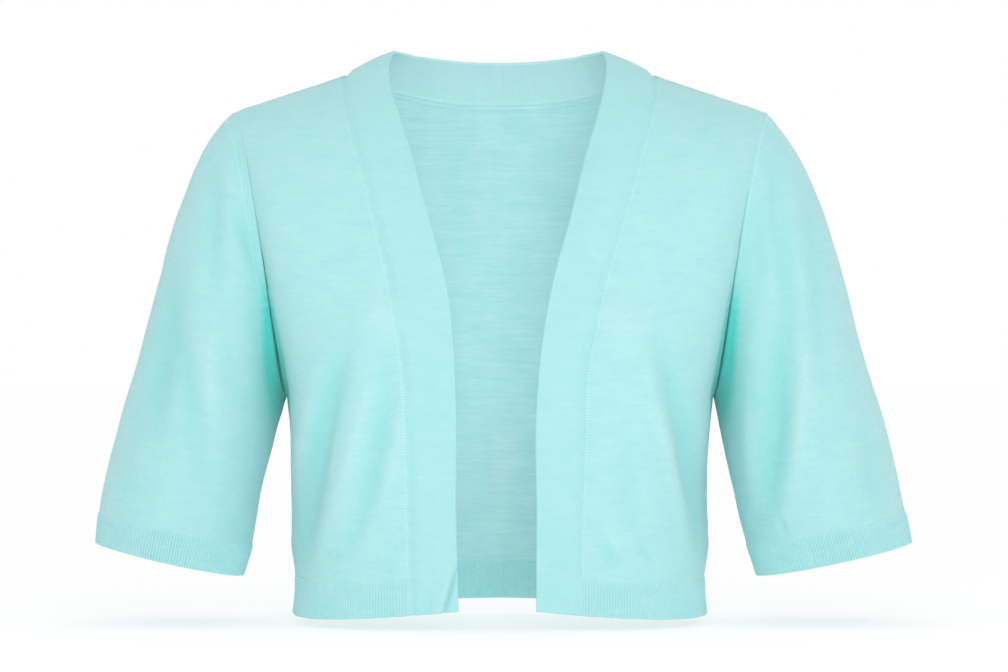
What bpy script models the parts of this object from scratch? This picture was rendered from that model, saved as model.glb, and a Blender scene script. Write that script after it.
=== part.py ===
"""Cropped open-front cardigan in fine jersey, filled out as if worn, with elbow sleeves.

Frame: metres, +Z up. The front faces -Y, and the wearer's left side is at +X.
The origin lies midway between the two shoulder seams, 30 mm below the highest point of the
neck, where a pair of shoulders carries the garment.

Each piece is cut as a maker would cut it: a back, two fronts, two sleeves, a rib for each of
their lower edges and one long doubled band up both fronts and round the back of the neck.
A piece is a grid of points on its outer face, folded where the cloth folds, and a wall of its
own thickness built inwards from it. Sizes in the tables are millimetres.
"""

import math

import bmesh
import bpy
import numpy as np

MILLIMETRE = 0.001

# Walls, how far ribs and the doubled band stand proud of the jersey, and the gap that sewn
# edges keep between them.
JERSEY_WALL = 1.2
RIB_WALL = 1.2
RIB_RELIEF = 0.6
BAND_WALL = 1.3
BAND_RELIEF = 1.1
SEAM_GAP = 0.3
RIB_PITCH = 2.9

# How finely the pieces are divided.
ROWS_BELOW_UNDERARM = 8
ROWS_OF_ARMHOLE = 14
FRONT_COLUMNS = 16
BACK_NECK_COLUMNS = 6
BACK_SHOULDER_COLUMNS = 5
SLEEVE_ROWS = 13
BAND_COLUMNS = 3

# Key heights and places.
UNDERARM_HEIGHT = -226
FRONT_RIB_TOP = -353
SIDE_RIB_TOP = -357
BACK_RIB_TOP = -351
UNDERARM = (158, 0, UNDERARM_HEIGHT)
SHOULDER_TIP = (197.5, 0, -15.5)
ARMHOLE_DEPTH_FRONT = 54
ARMHOLE_DEPTH_BACK = 50
ARMHOLE_HOLLOW = 8
CUFF_TOP_OUTSIDE = -309
CUFF_TOP_INSIDE = -332.6
CUFF_EDGE_SHARE = 1.1
BAND_CROWN = 1.2
BAND_RISE_AT_RIB = 2

# Over how much of a sleeve's length its hollow at the armhole runs out.
HOLLOW_SHARE = 0.3

# Folds: the share of a fold's length that its ends stop short by, how full the rest stays, and
# the depth over which folds fade out towards the garment's sides.
FOLD_END = 0.06
FOLD_FULLNESS = 0.8
FOLD_SIDE_DEPTH = 18


def table(names, *rows):
    """Named columns of numbers, one row for each section or point."""
    return dict(zip(names.split(), np.array(rows, float).T))


# The band's seam from hem to shoulder, then round the back neck: how far each side reaches
# from the middle. "right" and "left" are the wearer's.
BAND_SEAM = table(
    "height depth right left",
    (-381, -102, 63, 57),
    (-321, -107, 64, 57),
    (-262, -112, 65, 59),
    (-206, -112, 68, 61),
    (-177, -109, 72, 66.5),
    (-143, -101, 78, 74),
    (-106, -92, 87, 84.5),
    (-72, -80, 95.5, 94.5),
    (-45, -66, 103, 102),
    (-19, -48, 110.5, 109.5),
    (-1, -29, 114, 113),
    (9, -14, 114.5, 113.5),
    (12.5, 0, 113, 113),
    (10.5, 13, 109, 109),
    (6.5, 31, 97, 97),
    (1.5, 50, 79, 79),
    (-3, 64, 57, 57),
    (-6.3, 72, 29, 29),
    (-7, 74, 0, 0),
)
BAND_SEAM_SHOULDER_ROW = 12

# The band's free edge over the same stretch.
BAND_EDGE = table(
    "height depth right left",
    (-378, -102, 29.5, 26),
    (-306, -108, 31, 26),
    (-230, -112, 31, 26),
    (-179, -109, 33.5, 31),
    (-155, -105, 36, 35),
    (-129, -100, 41.5, 41),
    (-105, -93, 48, 48),
    (-82, -85, 54.5, 54),
    (-50, -70, 63.5, 62),
    (-20, -53, 73, 71),
    (-2, -39, 79, 75.5),
    (13, -25, 81.5, 78),
    (25, -11, 80, 77.5),
    (29.5, 0, 78, 76),
    (29.5, 14, 73.5, 71.5),
    (28.5, 30, 63, 62),
    (26.8, 43, 46, 46),
    (25, 50, 24, 24),
    (24.2, 52, 0, 0),
)
BAND_EDGE_SHOULDER_ROW = 13

# Side seam below the underarm.
SIDE_SEAM = table(
    "height reach",
    (-385, 152.5),
    (-368, 151),
    (SIDE_RIB_TOP, 151.5),
    (-339, 154),
    (-310, 153.5),
    (-280, 153),
    (-250, 155),
    (UNDERARM_HEIGHT, 158),
)

# Centre back, from hem to neck seam.
CENTRE_BACK = table(
    "height depth",
    (-380, 86),
    (BACK_RIB_TOP, 87),
    (-300, 88),
    (-250, 87),
    (-190, 92),
    (-130, 98),
    (-80, 97),
    (-45, 88),
    (-20, 79),
    (-7, 74),
)

# Shape of a panel's rows by level: 0 at the rib, 1 at the underarm, 2 at the shoulder.
# Angles say which way a row heads, in degrees from +X towards +Y, where it leaves the band or
# the centre back and where it meets the outer seam; holds say for how much of its length, and
# dips how far its middle hangs below a straight course.
FRONT_SECTIONS = table(
    "level leaves meets hold_start hold_end dips",
    (0, 2, 90, 0.42, 0.46, 2.5),
    (0.5, -2, 90, 0.44, 0.46, 1),
    (1, -8, 90, 0.50, 0.46, 0),
    (1.25, -2, 82, 0.46, 0.42, 0),
    (1.5, 7, 68, 0.40, 0.36, 0),
    (1.75, 8, 40, 0.36, 0.34, 0),
    (2, 0, 0, 0.33, 0.33, 0),
)
BACK_SECTIONS = table(
    "level leaves meets hold_start hold_end dips",
    (0, 0, -90, 0.48, 0.40, 0),
    (1, 0, -90, 0.52, 0.40, 0),
    (1.25, 0, -78, 0.52, 0.36, 0),
    (1.5, 0, -62, 0.48, 0.33, 0),
    (1.75, 0, -36, 0.40, 0.32, 0),
    (2, 0, 0, 0.33, 0.33, 0),
)
BACK_NECK_LEVEL = 1.35

# Sleeve outlines seen from the front, down to the cuff's lower edge.
SLEEVE_OUTSIDE = table(
    "height right left",
    (-15.5, 197.5, 197.5),
    (-24, 206, 204.5),
    (-40, 217.5, 216),
    (-58, 226, 226.5),
    (-77, 233, 235),
    (-105, 243, 244),
    (-147, 254, 256),
    (-191, 265.5, 267.5),
    (-245, 281, 284),
    (CUFF_TOP_OUTSIDE, 295.5, 298.5),
    (-333, 297.8, 303),
)
SLEEVE_INSIDE = table(
    "height right left",
    (UNDERARM_HEIGHT, 158, 158),
    (-235, 160.5, 160),
    (-248, 164.5, 162.5),
    (-264, 168.5, 166),
    (-290, 175.5, 171.5),
    (-313, 179.5, 176),
    (CUFF_TOP_INSIDE, 183, 182),
    (-357.5, 190, 190.5),
)

# Half depths of the sleeve, front and back, and how far the arm hangs forward, by the share of
# its length from armhole to cuff.
SLEEVE_SECTIONS = table(
    "share front back forward",
    (0, ARMHOLE_DEPTH_FRONT, ARMHOLE_DEPTH_BACK, 0),
    (0.15, 59, 55, 0),
    (0.35, 63, 60, 1),
    (0.6, 63, 61, 3),
    (0.85, 60, 60, 5),
    (1, 59, 59, 6),
    (CUFF_EDGE_SHARE, 60, 60, 6),
)

# The largest folds, as soft troughs seen from the front (face -1) or the back (face 1): three
# points of each in X and height, its half width and how deep it sinks.
FOLDS = table(
    "face x_top top x_mid mid x_low low half_width sinks",
    (-1, -104, -186, -124, -265, -143, -345, 11, 7),
    (-1, -76, -214, -86, -268, -107, -330, 10, 5),
    (-1, 115, -196, 128, -256, 144, -333, 11, 6),
    (-1, -241, -122, -246, -184, -268, -300, 12, 5.5),
    (-1, -232, -172, -229, -222, -225, -275, 9, 3),
    (-1, -209, -46, -208, -90, -206, -134, 8, 3),
    (-1, 200, -42, 201, -82, 194, -128, 8, 3),
    (-1, 218, -60, 226, -133, 229, -215, 9, 3.5),
    (-1, 205, -172, 203, -242, 196, -312, 10, 6),
    (1, -62, -165, -92, -245, -124, -335, 13, 5),
    (1, 70, -182, 98, -250, 122, -330, 12, 4.5),
    (1, -6, -232, 4, -282, -4, -338, 14, 3),
    (1, -236, -105, -240, -190, -260, -294, 11, 5),
    (1, -208, -150, -204, -220, -200, -290, 9, 4),
    (1, 232, -96, 241, -180, 262, -290, 11, 5),
    (1, 206, -140, 207, -215, 202, -296, 9, 4),
)

# Finish of each kind of knit: base colour and roughness.
FINISHES = {
    "aqua_jersey": ((0.43, 0.80, 0.79), 0.85),
    "aqua_rib": ((0.38, 0.74, 0.73), 0.88),
    "aqua_band": ((0.45, 0.82, 0.81), 0.82),
}

LEVEL_ROWS = ROWS_BELOW_UNDERARM + ROWS_OF_ARMHOLE
BACK_COLUMNS = BACK_NECK_COLUMNS + BACK_SHOULDER_COLUMNS
SLEEVE_COLUMNS = 2 * ROWS_OF_ARMHOLE


def clear_scene():
    """Takes every object out of the scene."""
    for thing in list(bpy.data.objects):
        bpy.data.objects.remove(thing, do_unlink=True)


# Lines and shares along them


def unit(vectors):
    """The same directions, one long."""
    return vectors / np.linalg.norm(vectors, axis=-1, keepdims=True)


def smooth_line(points):
    """A smooth line through the points, as a function of distance along it, and each point's
    own distance: cubic stretches whose slope at a point is that of its two neighbours."""
    steps = np.linalg.norm(np.diff(points, axis=0), axis=1)
    marks = np.concatenate([[0], np.cumsum(steps)])
    slopes = np.gradient(points, marks, axis=0)

    def place(distance):
        distance = np.clip(np.atleast_1d(distance), 0, marks[-1])
        first = np.clip(np.searchsorted(marks, distance, side="right") - 1, 0, len(steps) - 1)
        span = steps[first][:, None]
        share = ((distance - marks[first]) / steps[first])[:, None]
        kept = 2 * share**3 - 3 * share**2 + 1
        start_pull = (share**3 - 2 * share**2 + share) * span
        end_pull = (share**3 - share**2) * span
        return (
            kept * points[first]
            + (1 - kept) * points[first + 1]
            + start_pull * slopes[first]
            + end_pull * slopes[first + 1]
        )

    return place, marks


def distance_at_height(line, end, height):
    """How far along a rising or falling line it passes a height."""
    trial = np.linspace(0, end, 800)
    heights = line(trial)[:, 2]
    order = np.argsort(heights)
    return np.interp(height, heights[order], trial[order])


def evenly(*stops):
    """Distances from the first stop to the last: each stop after the first is a pair, the
    number of steps and where they end."""
    found = [stops[0]]
    for steps, end in stops[1:]:
        start = found[-1]
        found.extend(start + (end - start) * (i + 1) / steps for i in range(steps))
    return np.array(found)


def read(columns, key, values, name):
    """A table's column, read between its rows."""
    return np.interp(values, columns[key], columns[name])


def side_line(columns, side):
    """The points of a table's line on one side of the wearer, with X as the distance out."""
    return np.stack([columns[side], columns["depth"], columns["height"]], axis=1)


def levels():
    """0 at the rib, 1 at the underarm, 2 at the shoulder, for each row of a panel."""
    below = np.arange(ROWS_BELOW_UNDERARM) / ROWS_BELOW_UNDERARM
    above = 1 + np.arange(ROWS_OF_ARMHOLE + 1) / ROWS_OF_ARMHOLE
    return np.concatenate([below, above])


# The body


def band_lines(side):
    """The band's seam and free edge from hem to centre back, a point for each of its rows."""
    lines = []
    for columns, shoulder_row, rib_top in (
        (BAND_SEAM, BAND_SEAM_SHOULDER_ROW, FRONT_RIB_TOP),
        (BAND_EDGE, BAND_EDGE_SHOULDER_ROW, FRONT_RIB_TOP + BAND_RISE_AT_RIB),
    ):
        line, marks = smooth_line(side_line(columns, side))
        shoulder = marks[shoulder_row]
        rib = distance_at_height(line, shoulder, rib_top)
        underarm = distance_at_height(line, shoulder, UNDERARM_HEIGHT)
        places = evenly(
            0,
            (1, rib),
            (ROWS_BELOW_UNDERARM, underarm),
            (ROWS_OF_ARMHOLE, shoulder),
            (BACK_NECK_COLUMNS, marks[-1]),
        )
        lines.append(line(places))
    return lines


def armhole(turns, front_depth=ARMHOLE_DEPTH_FRONT, back_depth=ARMHOLE_DEPTH_BACK):
    """Points of the armhole seam. A turn of 0 is the underarm and pi the shoulder tip; it goes
    up the front and down the back. The loop is an ellipse, hollowed towards the chest above."""
    middle = (np.array(UNDERARM, float) + SHOULDER_TIP) / 2
    half = (np.array(SHOULDER_TIP, float) - UNDERARM) / 2
    depth = np.where(np.sin(turns) > 0, front_depth, back_depth) * np.sin(turns)
    points = middle - np.cos(turns)[:, None] * half
    points[:, 1] -= depth
    points[:, 0] -= ARMHOLE_HOLLOW * np.abs(np.sin(turns)) * np.sin(turns / 2) ** 2
    return points


def outer_seam(back):
    """The side seam from rib to underarm, then the armhole seam to the shoulder tip."""
    place, marks = smooth_line(
        np.stack([SIDE_SEAM["reach"], 0 * SIDE_SEAM["reach"], SIDE_SEAM["height"]], axis=1)
    )
    rib = distance_at_height(place, marks[-1], SIDE_RIB_TOP)
    below = place(evenly(rib, (ROWS_BELOW_UNDERARM, marks[-1])))
    turns = np.linspace(0, math.pi, ROWS_OF_ARMHOLE + 1)
    above = armhole(-turns if back else turns)
    return np.concatenate([below[:-1], above])


def sections(start, end, shape, level, shares):
    """The rows of a panel. Each is a cubic arc from its start point to its end point that
    keeps its leaving and meeting headings for the held share of the straight distance."""
    leaves = np.radians(read(shape, "level", level, "leaves"))
    meets = np.radians(read(shape, "level", level, "meets"))
    reach = np.linalg.norm((end - start)[:, :2], axis=1)
    rise = (end - start)[:, 2]
    first_hold = read(shape, "level", level, "hold_start") * reach
    last_hold = read(shape, "level", level, "hold_end") * reach
    first = start + np.stack(
        [first_hold * np.cos(leaves), first_hold * np.sin(leaves), rise / 3], axis=1
    )
    last = end - np.stack(
        [last_hold * np.cos(meets), last_hold * np.sin(meets), rise / 3], axis=1
    )
    share = shares[None, :, None]
    rows = (
        (1 - share) ** 3 * start[:, None]
        + 3 * share * (1 - share) ** 2 * first[:, None]
        + 3 * share**2 * (1 - share) * last[:, None]
        + share**3 * end[:, None]
    )
    rows[..., 2] -= read(shape, "level", level, "dips")[:, None] * 4 * shares * (1 - shares)
    return rows


def front_rows(side, shares):
    """A front's rows, from the rib seam to the shoulder seam."""
    seam = band_lines(side)[0][1 : LEVEL_ROWS + 2]
    return sections(seam, outer_seam(back=False), FRONT_SECTIONS, levels(), shares)


def back_top(side):
    """The top of half a back: the neck seam from the centre, then the shoulder seam."""
    neck = band_lines(side)[0][LEVEL_ROWS + 1 :][::-1]
    steps = np.linspace(0, 1, BACK_SHOULDER_COLUMNS + 1)[1:, None]
    return np.concatenate([neck, neck[-1] + steps * (SHOULDER_TIP - neck[-1])])


def back_rows(side, shares, top=None):
    """Half a back's rows, from the rib seam to the top, starting at the centre back. The
    upper rows bend to the line of the neck and shoulder seams."""
    place, marks = smooth_line(
        np.stack([0 * CENTRE_BACK["depth"], CENTRE_BACK["depth"], CENTRE_BACK["height"]], axis=1)
    )
    rib = distance_at_height(place, marks[-1], BACK_RIB_TOP)
    underarm = distance_at_height(place, marks[-1], UNDERARM_HEIGHT)
    centre = place(evenly(rib, (ROWS_BELOW_UNDERARM, underarm), (ROWS_OF_ARMHOLE, marks[-1])))
    rows = sections(centre, outer_seam(back=True), BACK_SECTIONS, levels(), shares)
    if top is not None:
        near_top = np.clip((levels() - BACK_NECK_LEVEL) / (2 - BACK_NECK_LEVEL), 0, 1) ** 2
        rows = rows + near_top[:, None, None] * (top - rows[-1])
    return rows


def even_shares(row, count):
    """Shares that divide a row, given as many points, into equal lengths."""
    steps = np.linalg.norm(np.diff(row, axis=0), axis=1)
    marks = np.concatenate([[0], np.cumsum(steps)])
    return np.interp(np.linspace(0, marks[-1], count), marks, np.linspace(0, 1, len(row)))


# The sleeves


def sleeve_rings(side, shares, turns):
    """Rings of a sleeve. A share of 0 is the armhole seam, 1 the cuff's seam and past it comes
    the cuff's edge. Each ring is an ellipse from the sleeve's inside line to its outside line."""
    ends = []
    for columns, cuff_top in (
        (SLEEVE_INSIDE, CUFF_TOP_INSIDE),
        (SLEEVE_OUTSIDE, CUFF_TOP_OUTSIDE),
    ):
        reach = columns[side]
        place, marks = smooth_line(np.stack([reach, 0 * reach, columns["height"]], axis=1))
        cuff = distance_at_height(place, marks[-1], cuff_top)
        ends.append(place(np.interp(shares, [0, 1, CUFF_EDGE_SHARE], [0, cuff, marks[-1]])))
    middle = (ends[0] + ends[1])[:, None] / 2
    half = (ends[1] - ends[0])[:, None] / 2
    depth = {
        name: read(SLEEVE_SECTIONS, "share", shares, name)[:, None]
        for name in ("front", "back", "forward")
    }
    sine = np.sin(turns)[None, :]
    rings = middle - np.cos(turns)[None, :, None] * half
    rings[..., 1] -= np.where(sine > 0, depth["front"], depth["back"]) * sine
    rings[..., 1] -= depth["forward"]
    hollow = ARMHOLE_HOLLOW * np.clip(1 - shares / HOLLOW_SHARE, 0, 1)[:, None]
    rings[..., 0] -= hollow * np.abs(sine) * np.sin(turns / 2)[None, :] ** 2
    return rings


# Folds, walls and seams


def fold_depths(points):
    """How far each point sinks: every fold is a trough with a bell-shaped section along a
    smooth line through its three points, fading out towards both ends."""
    sunk = np.zeros(points.shape[:-1])
    along = np.linspace(0, 1, 41)[:, None]
    for fold in range(len(FOLDS["face"])):
        corner = {name: column[fold] for name, column in FOLDS.items()}
        top = np.array([corner["x_top"], corner["top"]])
        low = np.array([corner["x_low"], corner["low"]])
        bend = 2 * np.array([corner["x_mid"], corner["mid"]]) - (top + low) / 2
        line = (1 - along) ** 2 * top + 2 * along * (1 - along) * bend + along**2 * low
        apart = np.linalg.norm(points[..., None, ::2] - line, axis=-1)
        nearest = apart.argmin(axis=-1)
        length_share = FOLD_END + (1 - 2 * FOLD_END) * along[nearest, 0]
        fade = np.sin(math.pi * length_share) ** FOLD_FULLNESS
        section = np.exp(-((apart.min(axis=-1) / corner["half_width"]) ** 2))
        facing = np.clip(points[..., 1] * corner["face"] / FOLD_SIDE_DEPTH, 0, 1)
        sunk += corner["sinks"] * section * fade * facing
    return sunk


def grid_normals(grid, outward, closed):
    """Directions square to a grid of points, from its rows and columns."""
    along_rows = np.gradient(grid, axis=0)
    if closed:
        across = (np.roll(grid, -1, axis=1) - np.roll(grid, 1, axis=1)) / 2
    else:
        across = np.gradient(grid, axis=1)
    return outward * unit(np.cross(across, along_rows))


class Piece:
    """One cut piece: a grid of points on its outer face, their outward directions, how thick
    its wall is inwards of them and how far its face stands proud of them, column by column. A
    closed piece is a tube, whose last column joins its first. The inner face of a ribbed piece
    is plain, with one column to several of the outer face's."""

    def __init__(self, name, finish, grid, outward, wall, proud=0.0, closed=False, plain_step=1):
        self.name = name
        self.finish = finish
        self.grid = grid
        self.outward = outward
        self.wall = wall
        self.proud = proud
        self.closed = closed
        self.plain_step = plain_step
        self.normals = grid_normals(grid, outward, closed)

    def fold(self):
        """Sinks the folds into the cloth."""
        self.grid = self.grid - self.normals * fold_depths(self.grid)[..., None]
        self.normals = grid_normals(self.grid, self.outward, self.closed)

    def square_edge(self, row, axis):
        """Turns the outward directions of a row square to an axis."""
        line = self.normals[row]
        self.normals[row] = unit(line - (line @ axis)[:, None] * axis)

    def pull_back(self, rows=(), columns=()):
        """Moves the named edge rows and columns inwards by half a seam gap, square to them."""
        moved = np.zeros_like(self.grid)
        for edges, axis in ((rows, 0), (columns, 1)):
            for edge in edges:
                line = self.grid.take(edge, axis=axis)
                inwards = self.grid.take(1 if edge == 0 else -2, axis=axis) - line
                if self.closed:
                    run = np.roll(line, -1, axis=0) - np.roll(line, 1, axis=0)
                else:
                    run = np.gradient(line, axis=0)
                square = unit(np.cross(self.normals.take(edge, axis=axis), run))
                square *= np.sign((square * inwards).sum(axis=-1, keepdims=True))
                place = (edge, slice(None)) if axis == 0 else (slice(None), edge)
                moved[place] += square * SEAM_GAP / 2
        self.grid = self.grid + moved

    def build(self):
        """Makes the wall between the inner and the outer face as one closed mesh."""
        rows, columns = self.grid.shape[:2]
        proud = np.broadcast_to(self.proud, (rows, columns))[..., None]
        outer = self.grid + self.normals * proud
        inner = (self.grid - self.normals * self.wall)[:, :: self.plain_step]
        faces = wall_faces(rows, columns, self.plain_step, self.closed)
        points = np.concatenate([inner.reshape(-1, 3), outer.reshape(-1, 3)])
        make_object(self.name, points, faces, self.finish)


def wall_faces(rows, columns, step, closed):
    """Faces of a wall whose inner grid of points is followed by its outer grid, which has
    `step` columns to each of the inner grid's."""
    inner = np.arange(rows * (-(-columns // step))).reshape(rows, -1)
    outer = inner.size + np.arange(rows * columns).reshape(rows, columns)
    if closed:
        inner = np.concatenate([inner, inner[:, :1]], axis=1)
        outer = np.concatenate([outer, outer[:, :1]], axis=1)
    faces = []
    for grid, turn in ((inner, 1), (outer, -1)):
        quads = [grid[:-1, :-1], grid[1:, :-1], grid[1:, 1:], grid[:-1, 1:]]
        faces += np.stack(quads[::turn], axis=-1).reshape(-1, 4).tolist()
    for k in range(inner.shape[1] - 1):
        run = outer[:, k * step : (k + 1) * step + 1]
        faces.append([inner[0, k], inner[0, k + 1], *run[0, ::-1]])
        faces.append([inner[-1, k + 1], inner[-1, k], *run[-1]])
    if not closed:
        for r in range(rows - 1):
            faces.append([inner[r + 1, 0], inner[r, 0], outer[r, 0], outer[r + 1, 0]])
            faces.append([inner[r, -1], inner[r + 1, -1], outer[r + 1, -1], outer[r, -1]])
    return faces


def make_object(name, points, faces, finish):
    """A mesh object in metres with its faces turned outwards."""
    mesh = bpy.data.meshes.new(name)
    mesh.from_pydata((points * MILLIMETRE).tolist(), [], faces)
    shape = bmesh.new()
    shape.from_mesh(mesh)
    bmesh.ops.recalc_face_normals(shape, faces=shape.faces)
    shape.to_mesh(mesh)
    shape.free()
    mesh.shade_smooth()
    mesh.set_sharp_from_angle(angle=math.radians(50))
    mesh.materials.append(knit(finish))
    bpy.context.scene.collection.objects.link(bpy.data.objects.new(name, mesh))


def knit(finish):
    """The material of one kind of knit, made once."""
    found = bpy.data.materials.get(finish)
    if found:
        return found
    colour, roughness = FINISHES[finish]
    material = bpy.data.materials.new(finish)
    material.use_nodes = True
    shader = material.node_tree.nodes["Principled BSDF"]
    shader.inputs["Base Color"].default_value = (*colour, 1)
    shader.inputs["Roughness"].default_value = roughness
    shader.inputs["Metallic"].default_value = 0
    return material


def share_seam(*places):
    """Gives the pieces that meet at a seam or a corner the same outward directions there. Each
    place is a piece and an index into its grid; seams of different counts are read at the same
    shares of their length."""
    lines = [np.atleast_2d(piece.normals[index]) for piece, index in places]
    for (piece, index), line in zip(places, lines):
        shares = np.linspace(0, 1, len(line))
        total = np.zeros_like(line)
        for other in lines:
            known = np.linspace(0, 1, len(other))
            total += np.stack([np.interp(shares, known, column) for column in other.T], axis=1)
        piece.normals[index] = unit(total).reshape(piece.normals[index].shape)


# The pieces


def on_side(grid, side):
    """A grid worked out for the wearer's left, moved to the side it is for."""
    return grid * np.array([1 if side == "left" else -1, 1, 1])


def make_front(side):
    shares = np.linspace(0, 1, FRONT_COLUMNS + 1)
    grid = on_side(front_rows(side, shares), side)
    outward = 1 if side == "left" else -1
    return Piece(f"front_{side}", "aqua_jersey", grid, outward, JERSEY_WALL)


def make_back():
    shares = np.linspace(0, 1, BACK_COLUMNS + 1)
    left, right = (
        on_side(back_rows(side, shares, back_top(side)), side) for side in ("left", "right")
    )
    grid = np.concatenate([right[:, :0:-1], left], axis=1)
    return Piece("back", "aqua_jersey", grid, -1, JERSEY_WALL)


def make_sleeve(side):
    turns = np.arange(SLEEVE_COLUMNS) * 2 * math.pi / SLEEVE_COLUMNS
    rings = sleeve_rings(side, np.linspace(0, 1, SLEEVE_ROWS + 1), turns)
    outward = -1 if side == "left" else 1
    grid = on_side(rings, side)
    return Piece(f"sleeve_{side}", "aqua_jersey", grid, outward, JERSEY_WALL, closed=True)


def rib_columns(row, closed=False):
    """Even shares of a row, two for each rib, with an even number of ribs."""
    length = np.linalg.norm(np.diff(row, axis=0), axis=1).sum()
    ribs = 2 * round(length / RIB_PITCH / 2)
    shares = even_shares(row, 2 * ribs + 1)
    return shares[:-1] if closed else shares


def make_rib(name, grid, outward, closed=False):
    """A ribbed piece, whose every second column stands proud."""
    proud = RIB_RELIEF * (np.arange(grid.shape[1]) % 2)
    return Piece(name, "aqua_rib", grid, outward, RIB_WALL, proud, closed, plain_step=4)


def make_front_rib(side):
    seam = band_lines(side)[0][:2]
    outer = np.array([(SIDE_SEAM["reach"][0], 0, SIDE_SEAM["height"][0]), outer_seam(False)[0]])
    level = np.zeros(2)
    trial = sections(seam, outer, FRONT_SECTIONS, level, np.linspace(0, 1, 200))
    shares = rib_columns(trial[1])
    grid = on_side(sections(seam, outer, FRONT_SECTIONS, level, shares), side)
    outward = 1 if side == "left" else -1
    return make_rib(f"hem_rib_front_{side}", grid, outward)


def make_back_rib():
    centre = np.array([(0, depth, height) for height, depth in zip(*CENTRE_BACK.values())][:2])
    outer = np.array([(SIDE_SEAM["reach"][0], 0, SIDE_SEAM["height"][0]), outer_seam(True)[0]])
    level = np.zeros(2)
    trial = sections(centre, outer, BACK_SECTIONS, level, np.linspace(0, 1, 200))
    shares = rib_columns(trial[1])
    left = sections(centre, outer, BACK_SECTIONS, level, shares)
    grid = np.concatenate([on_side(left, "right")[:, :0:-1], left], axis=1)
    return make_rib("hem_rib_back", grid, -1)


def make_cuff_rib(side):
    rows = np.array([CUFF_EDGE_SHARE, 1.0])
    trial = sleeve_rings(side, rows, np.linspace(0, 2 * math.pi, 400))
    turns = rib_columns(trial[1], closed=True) * 2 * math.pi
    grid = on_side(sleeve_rings(side, rows, turns), side)
    outward = 1 if side == "left" else -1
    return make_rib(f"cuff_rib_{side}", grid, outward, closed=True)


def make_band():
    """The doubled band, from the right front's hem round the back neck to the left front's."""
    halves = []
    for side in ("right", "left"):
        seam, edge = (on_side(line, side)[:, None] for line in band_lines(side))
        across = np.linspace(0, 1, BAND_COLUMNS + 1)[None, :, None]
        halves.append(seam + (edge - seam) * across)
    grid = np.concatenate([halves[0], halves[1][-2::-1]])
    share = np.linspace(0, 1, BAND_COLUMNS + 1)
    crown = (BAND_CROWN * 4 * share * (1 - share))[None, :, None]
    grid = grid + grid_normals(grid, 1, closed=False) * crown
    return Piece("front_band", "aqua_band", grid, 1, BAND_WALL, BAND_RELIEF)


def join_seams(body, sides):
    """Shares outward directions along every seam and corner, then opens the seam gaps."""
    back, back_rib, band = body
    under = slice(0, ROWS_BELOW_UNDERARM + 1)
    over = slice(ROWS_BELOW_UNDERARM, None)
    around = np.arange(ROWS_OF_ARMHOLE + 1)
    band_last = band.grid.shape[0] - 1
    for side, (front, sleeve, front_rib, cuff_rib) in sides.items():
        left = side == "left"
        outer = -1 if left else 0
        neck = BACK_COLUMNS + BACK_NECK_COLUMNS * (1 if left else -1)
        shoulder = np.arange(neck, 2 * BACK_COLUMNS + 1) if left else np.arange(neck, -1, -1)
        band_rows = np.arange(LEVEL_ROWS + 2)
        if left:
            band_rows = band_last - band_rows
        axis = unit(np.cross(sleeve.grid[-1, 0] - sleeve.grid[-1, ROWS_OF_ARMHOLE], (0, 1, 0)))
        sleeve.square_edge(-1, axis)
        cuff_rib.square_edge(-1, axis)
        front.square_edge(0, np.array([0, 0, 1]))
        front_rib.square_edge(-1, np.array([0, 0, 1]))
        share_seam((front, (under, -1)), (back, (under, outer)))
        share_seam((front_rib, (slice(None), -1)), (back_rib, (slice(None), outer)))
        share_seam((front, (over, -1)), (sleeve, (0, around)))
        share_seam((back, (over, outer)), (sleeve, (0, -around % SLEEVE_COLUMNS)))
        share_seam((front, (-1, slice(None))), (back, (-1, shoulder)))
        share_seam((front, (slice(None), 0)), (band, (band_rows[1:], 0)))
        share_seam((front_rib, (slice(None), 0)), (band, (band_rows[:2], 0)))
        share_seam(
            (front, (ROWS_BELOW_UNDERARM, -1)),
            (back, (ROWS_BELOW_UNDERARM, outer)),
            (sleeve, (0, 0)),
        )
        share_seam((front, (-1, -1)), (back, (-1, outer)), (sleeve, (0, ROWS_OF_ARMHOLE)))
        share_seam((front, (-1, 0)), (back, (-1, neck)), (band, (band_rows[-1], 0)))
        share_seam((front, (0, 0)), (front_rib, (-1, 0)), (band, (band_rows[1], 0)))
        share_seam(
            (front, (0, -1)), (back, (0, outer)), (front_rib, (-1, -1)), (back_rib, (-1, outer))
        )
        front.pull_back(rows=(0, -1), columns=(0, -1))
        front_rib.pull_back(rows=(-1,), columns=(0, -1))
        sleeve.pull_back(rows=(0, -1))
        cuff_rib.pull_back(rows=(-1,))
    neck_columns = np.arange(BACK_COLUMNS - BACK_NECK_COLUMNS, BACK_COLUMNS + BACK_NECK_COLUMNS + 1)
    neck_rows = np.arange(LEVEL_ROWS + 1, band_last - LEVEL_ROWS)
    share_seam((back, (-1, neck_columns[1:-1])), (band, (neck_rows[1:-1], 0)))
    back.square_edge(0, np.array([0, 0, 1]))
    back_rib.square_edge(-1, np.array([0, 0, 1]))
    back.pull_back(rows=(0, -1), columns=(0, -1))
    back_rib.pull_back(rows=(-1,), columns=(0, -1))
    band.pull_back(columns=(0,))


def main():
    clear_scene()
    body = (make_back(), make_back_rib(), make_band())
    sides = {
        side: (make_front(side), make_sleeve(side), make_front_rib(side), make_cuff_rib(side))
        for side in ("left", "right")
    }
    pieces = [*body, *sides["left"], *sides["right"]]
    for piece in pieces:
        piece.fold()
    join_seams(body, sides)
    for piece in pieces:
        piece.build()


main()
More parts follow.
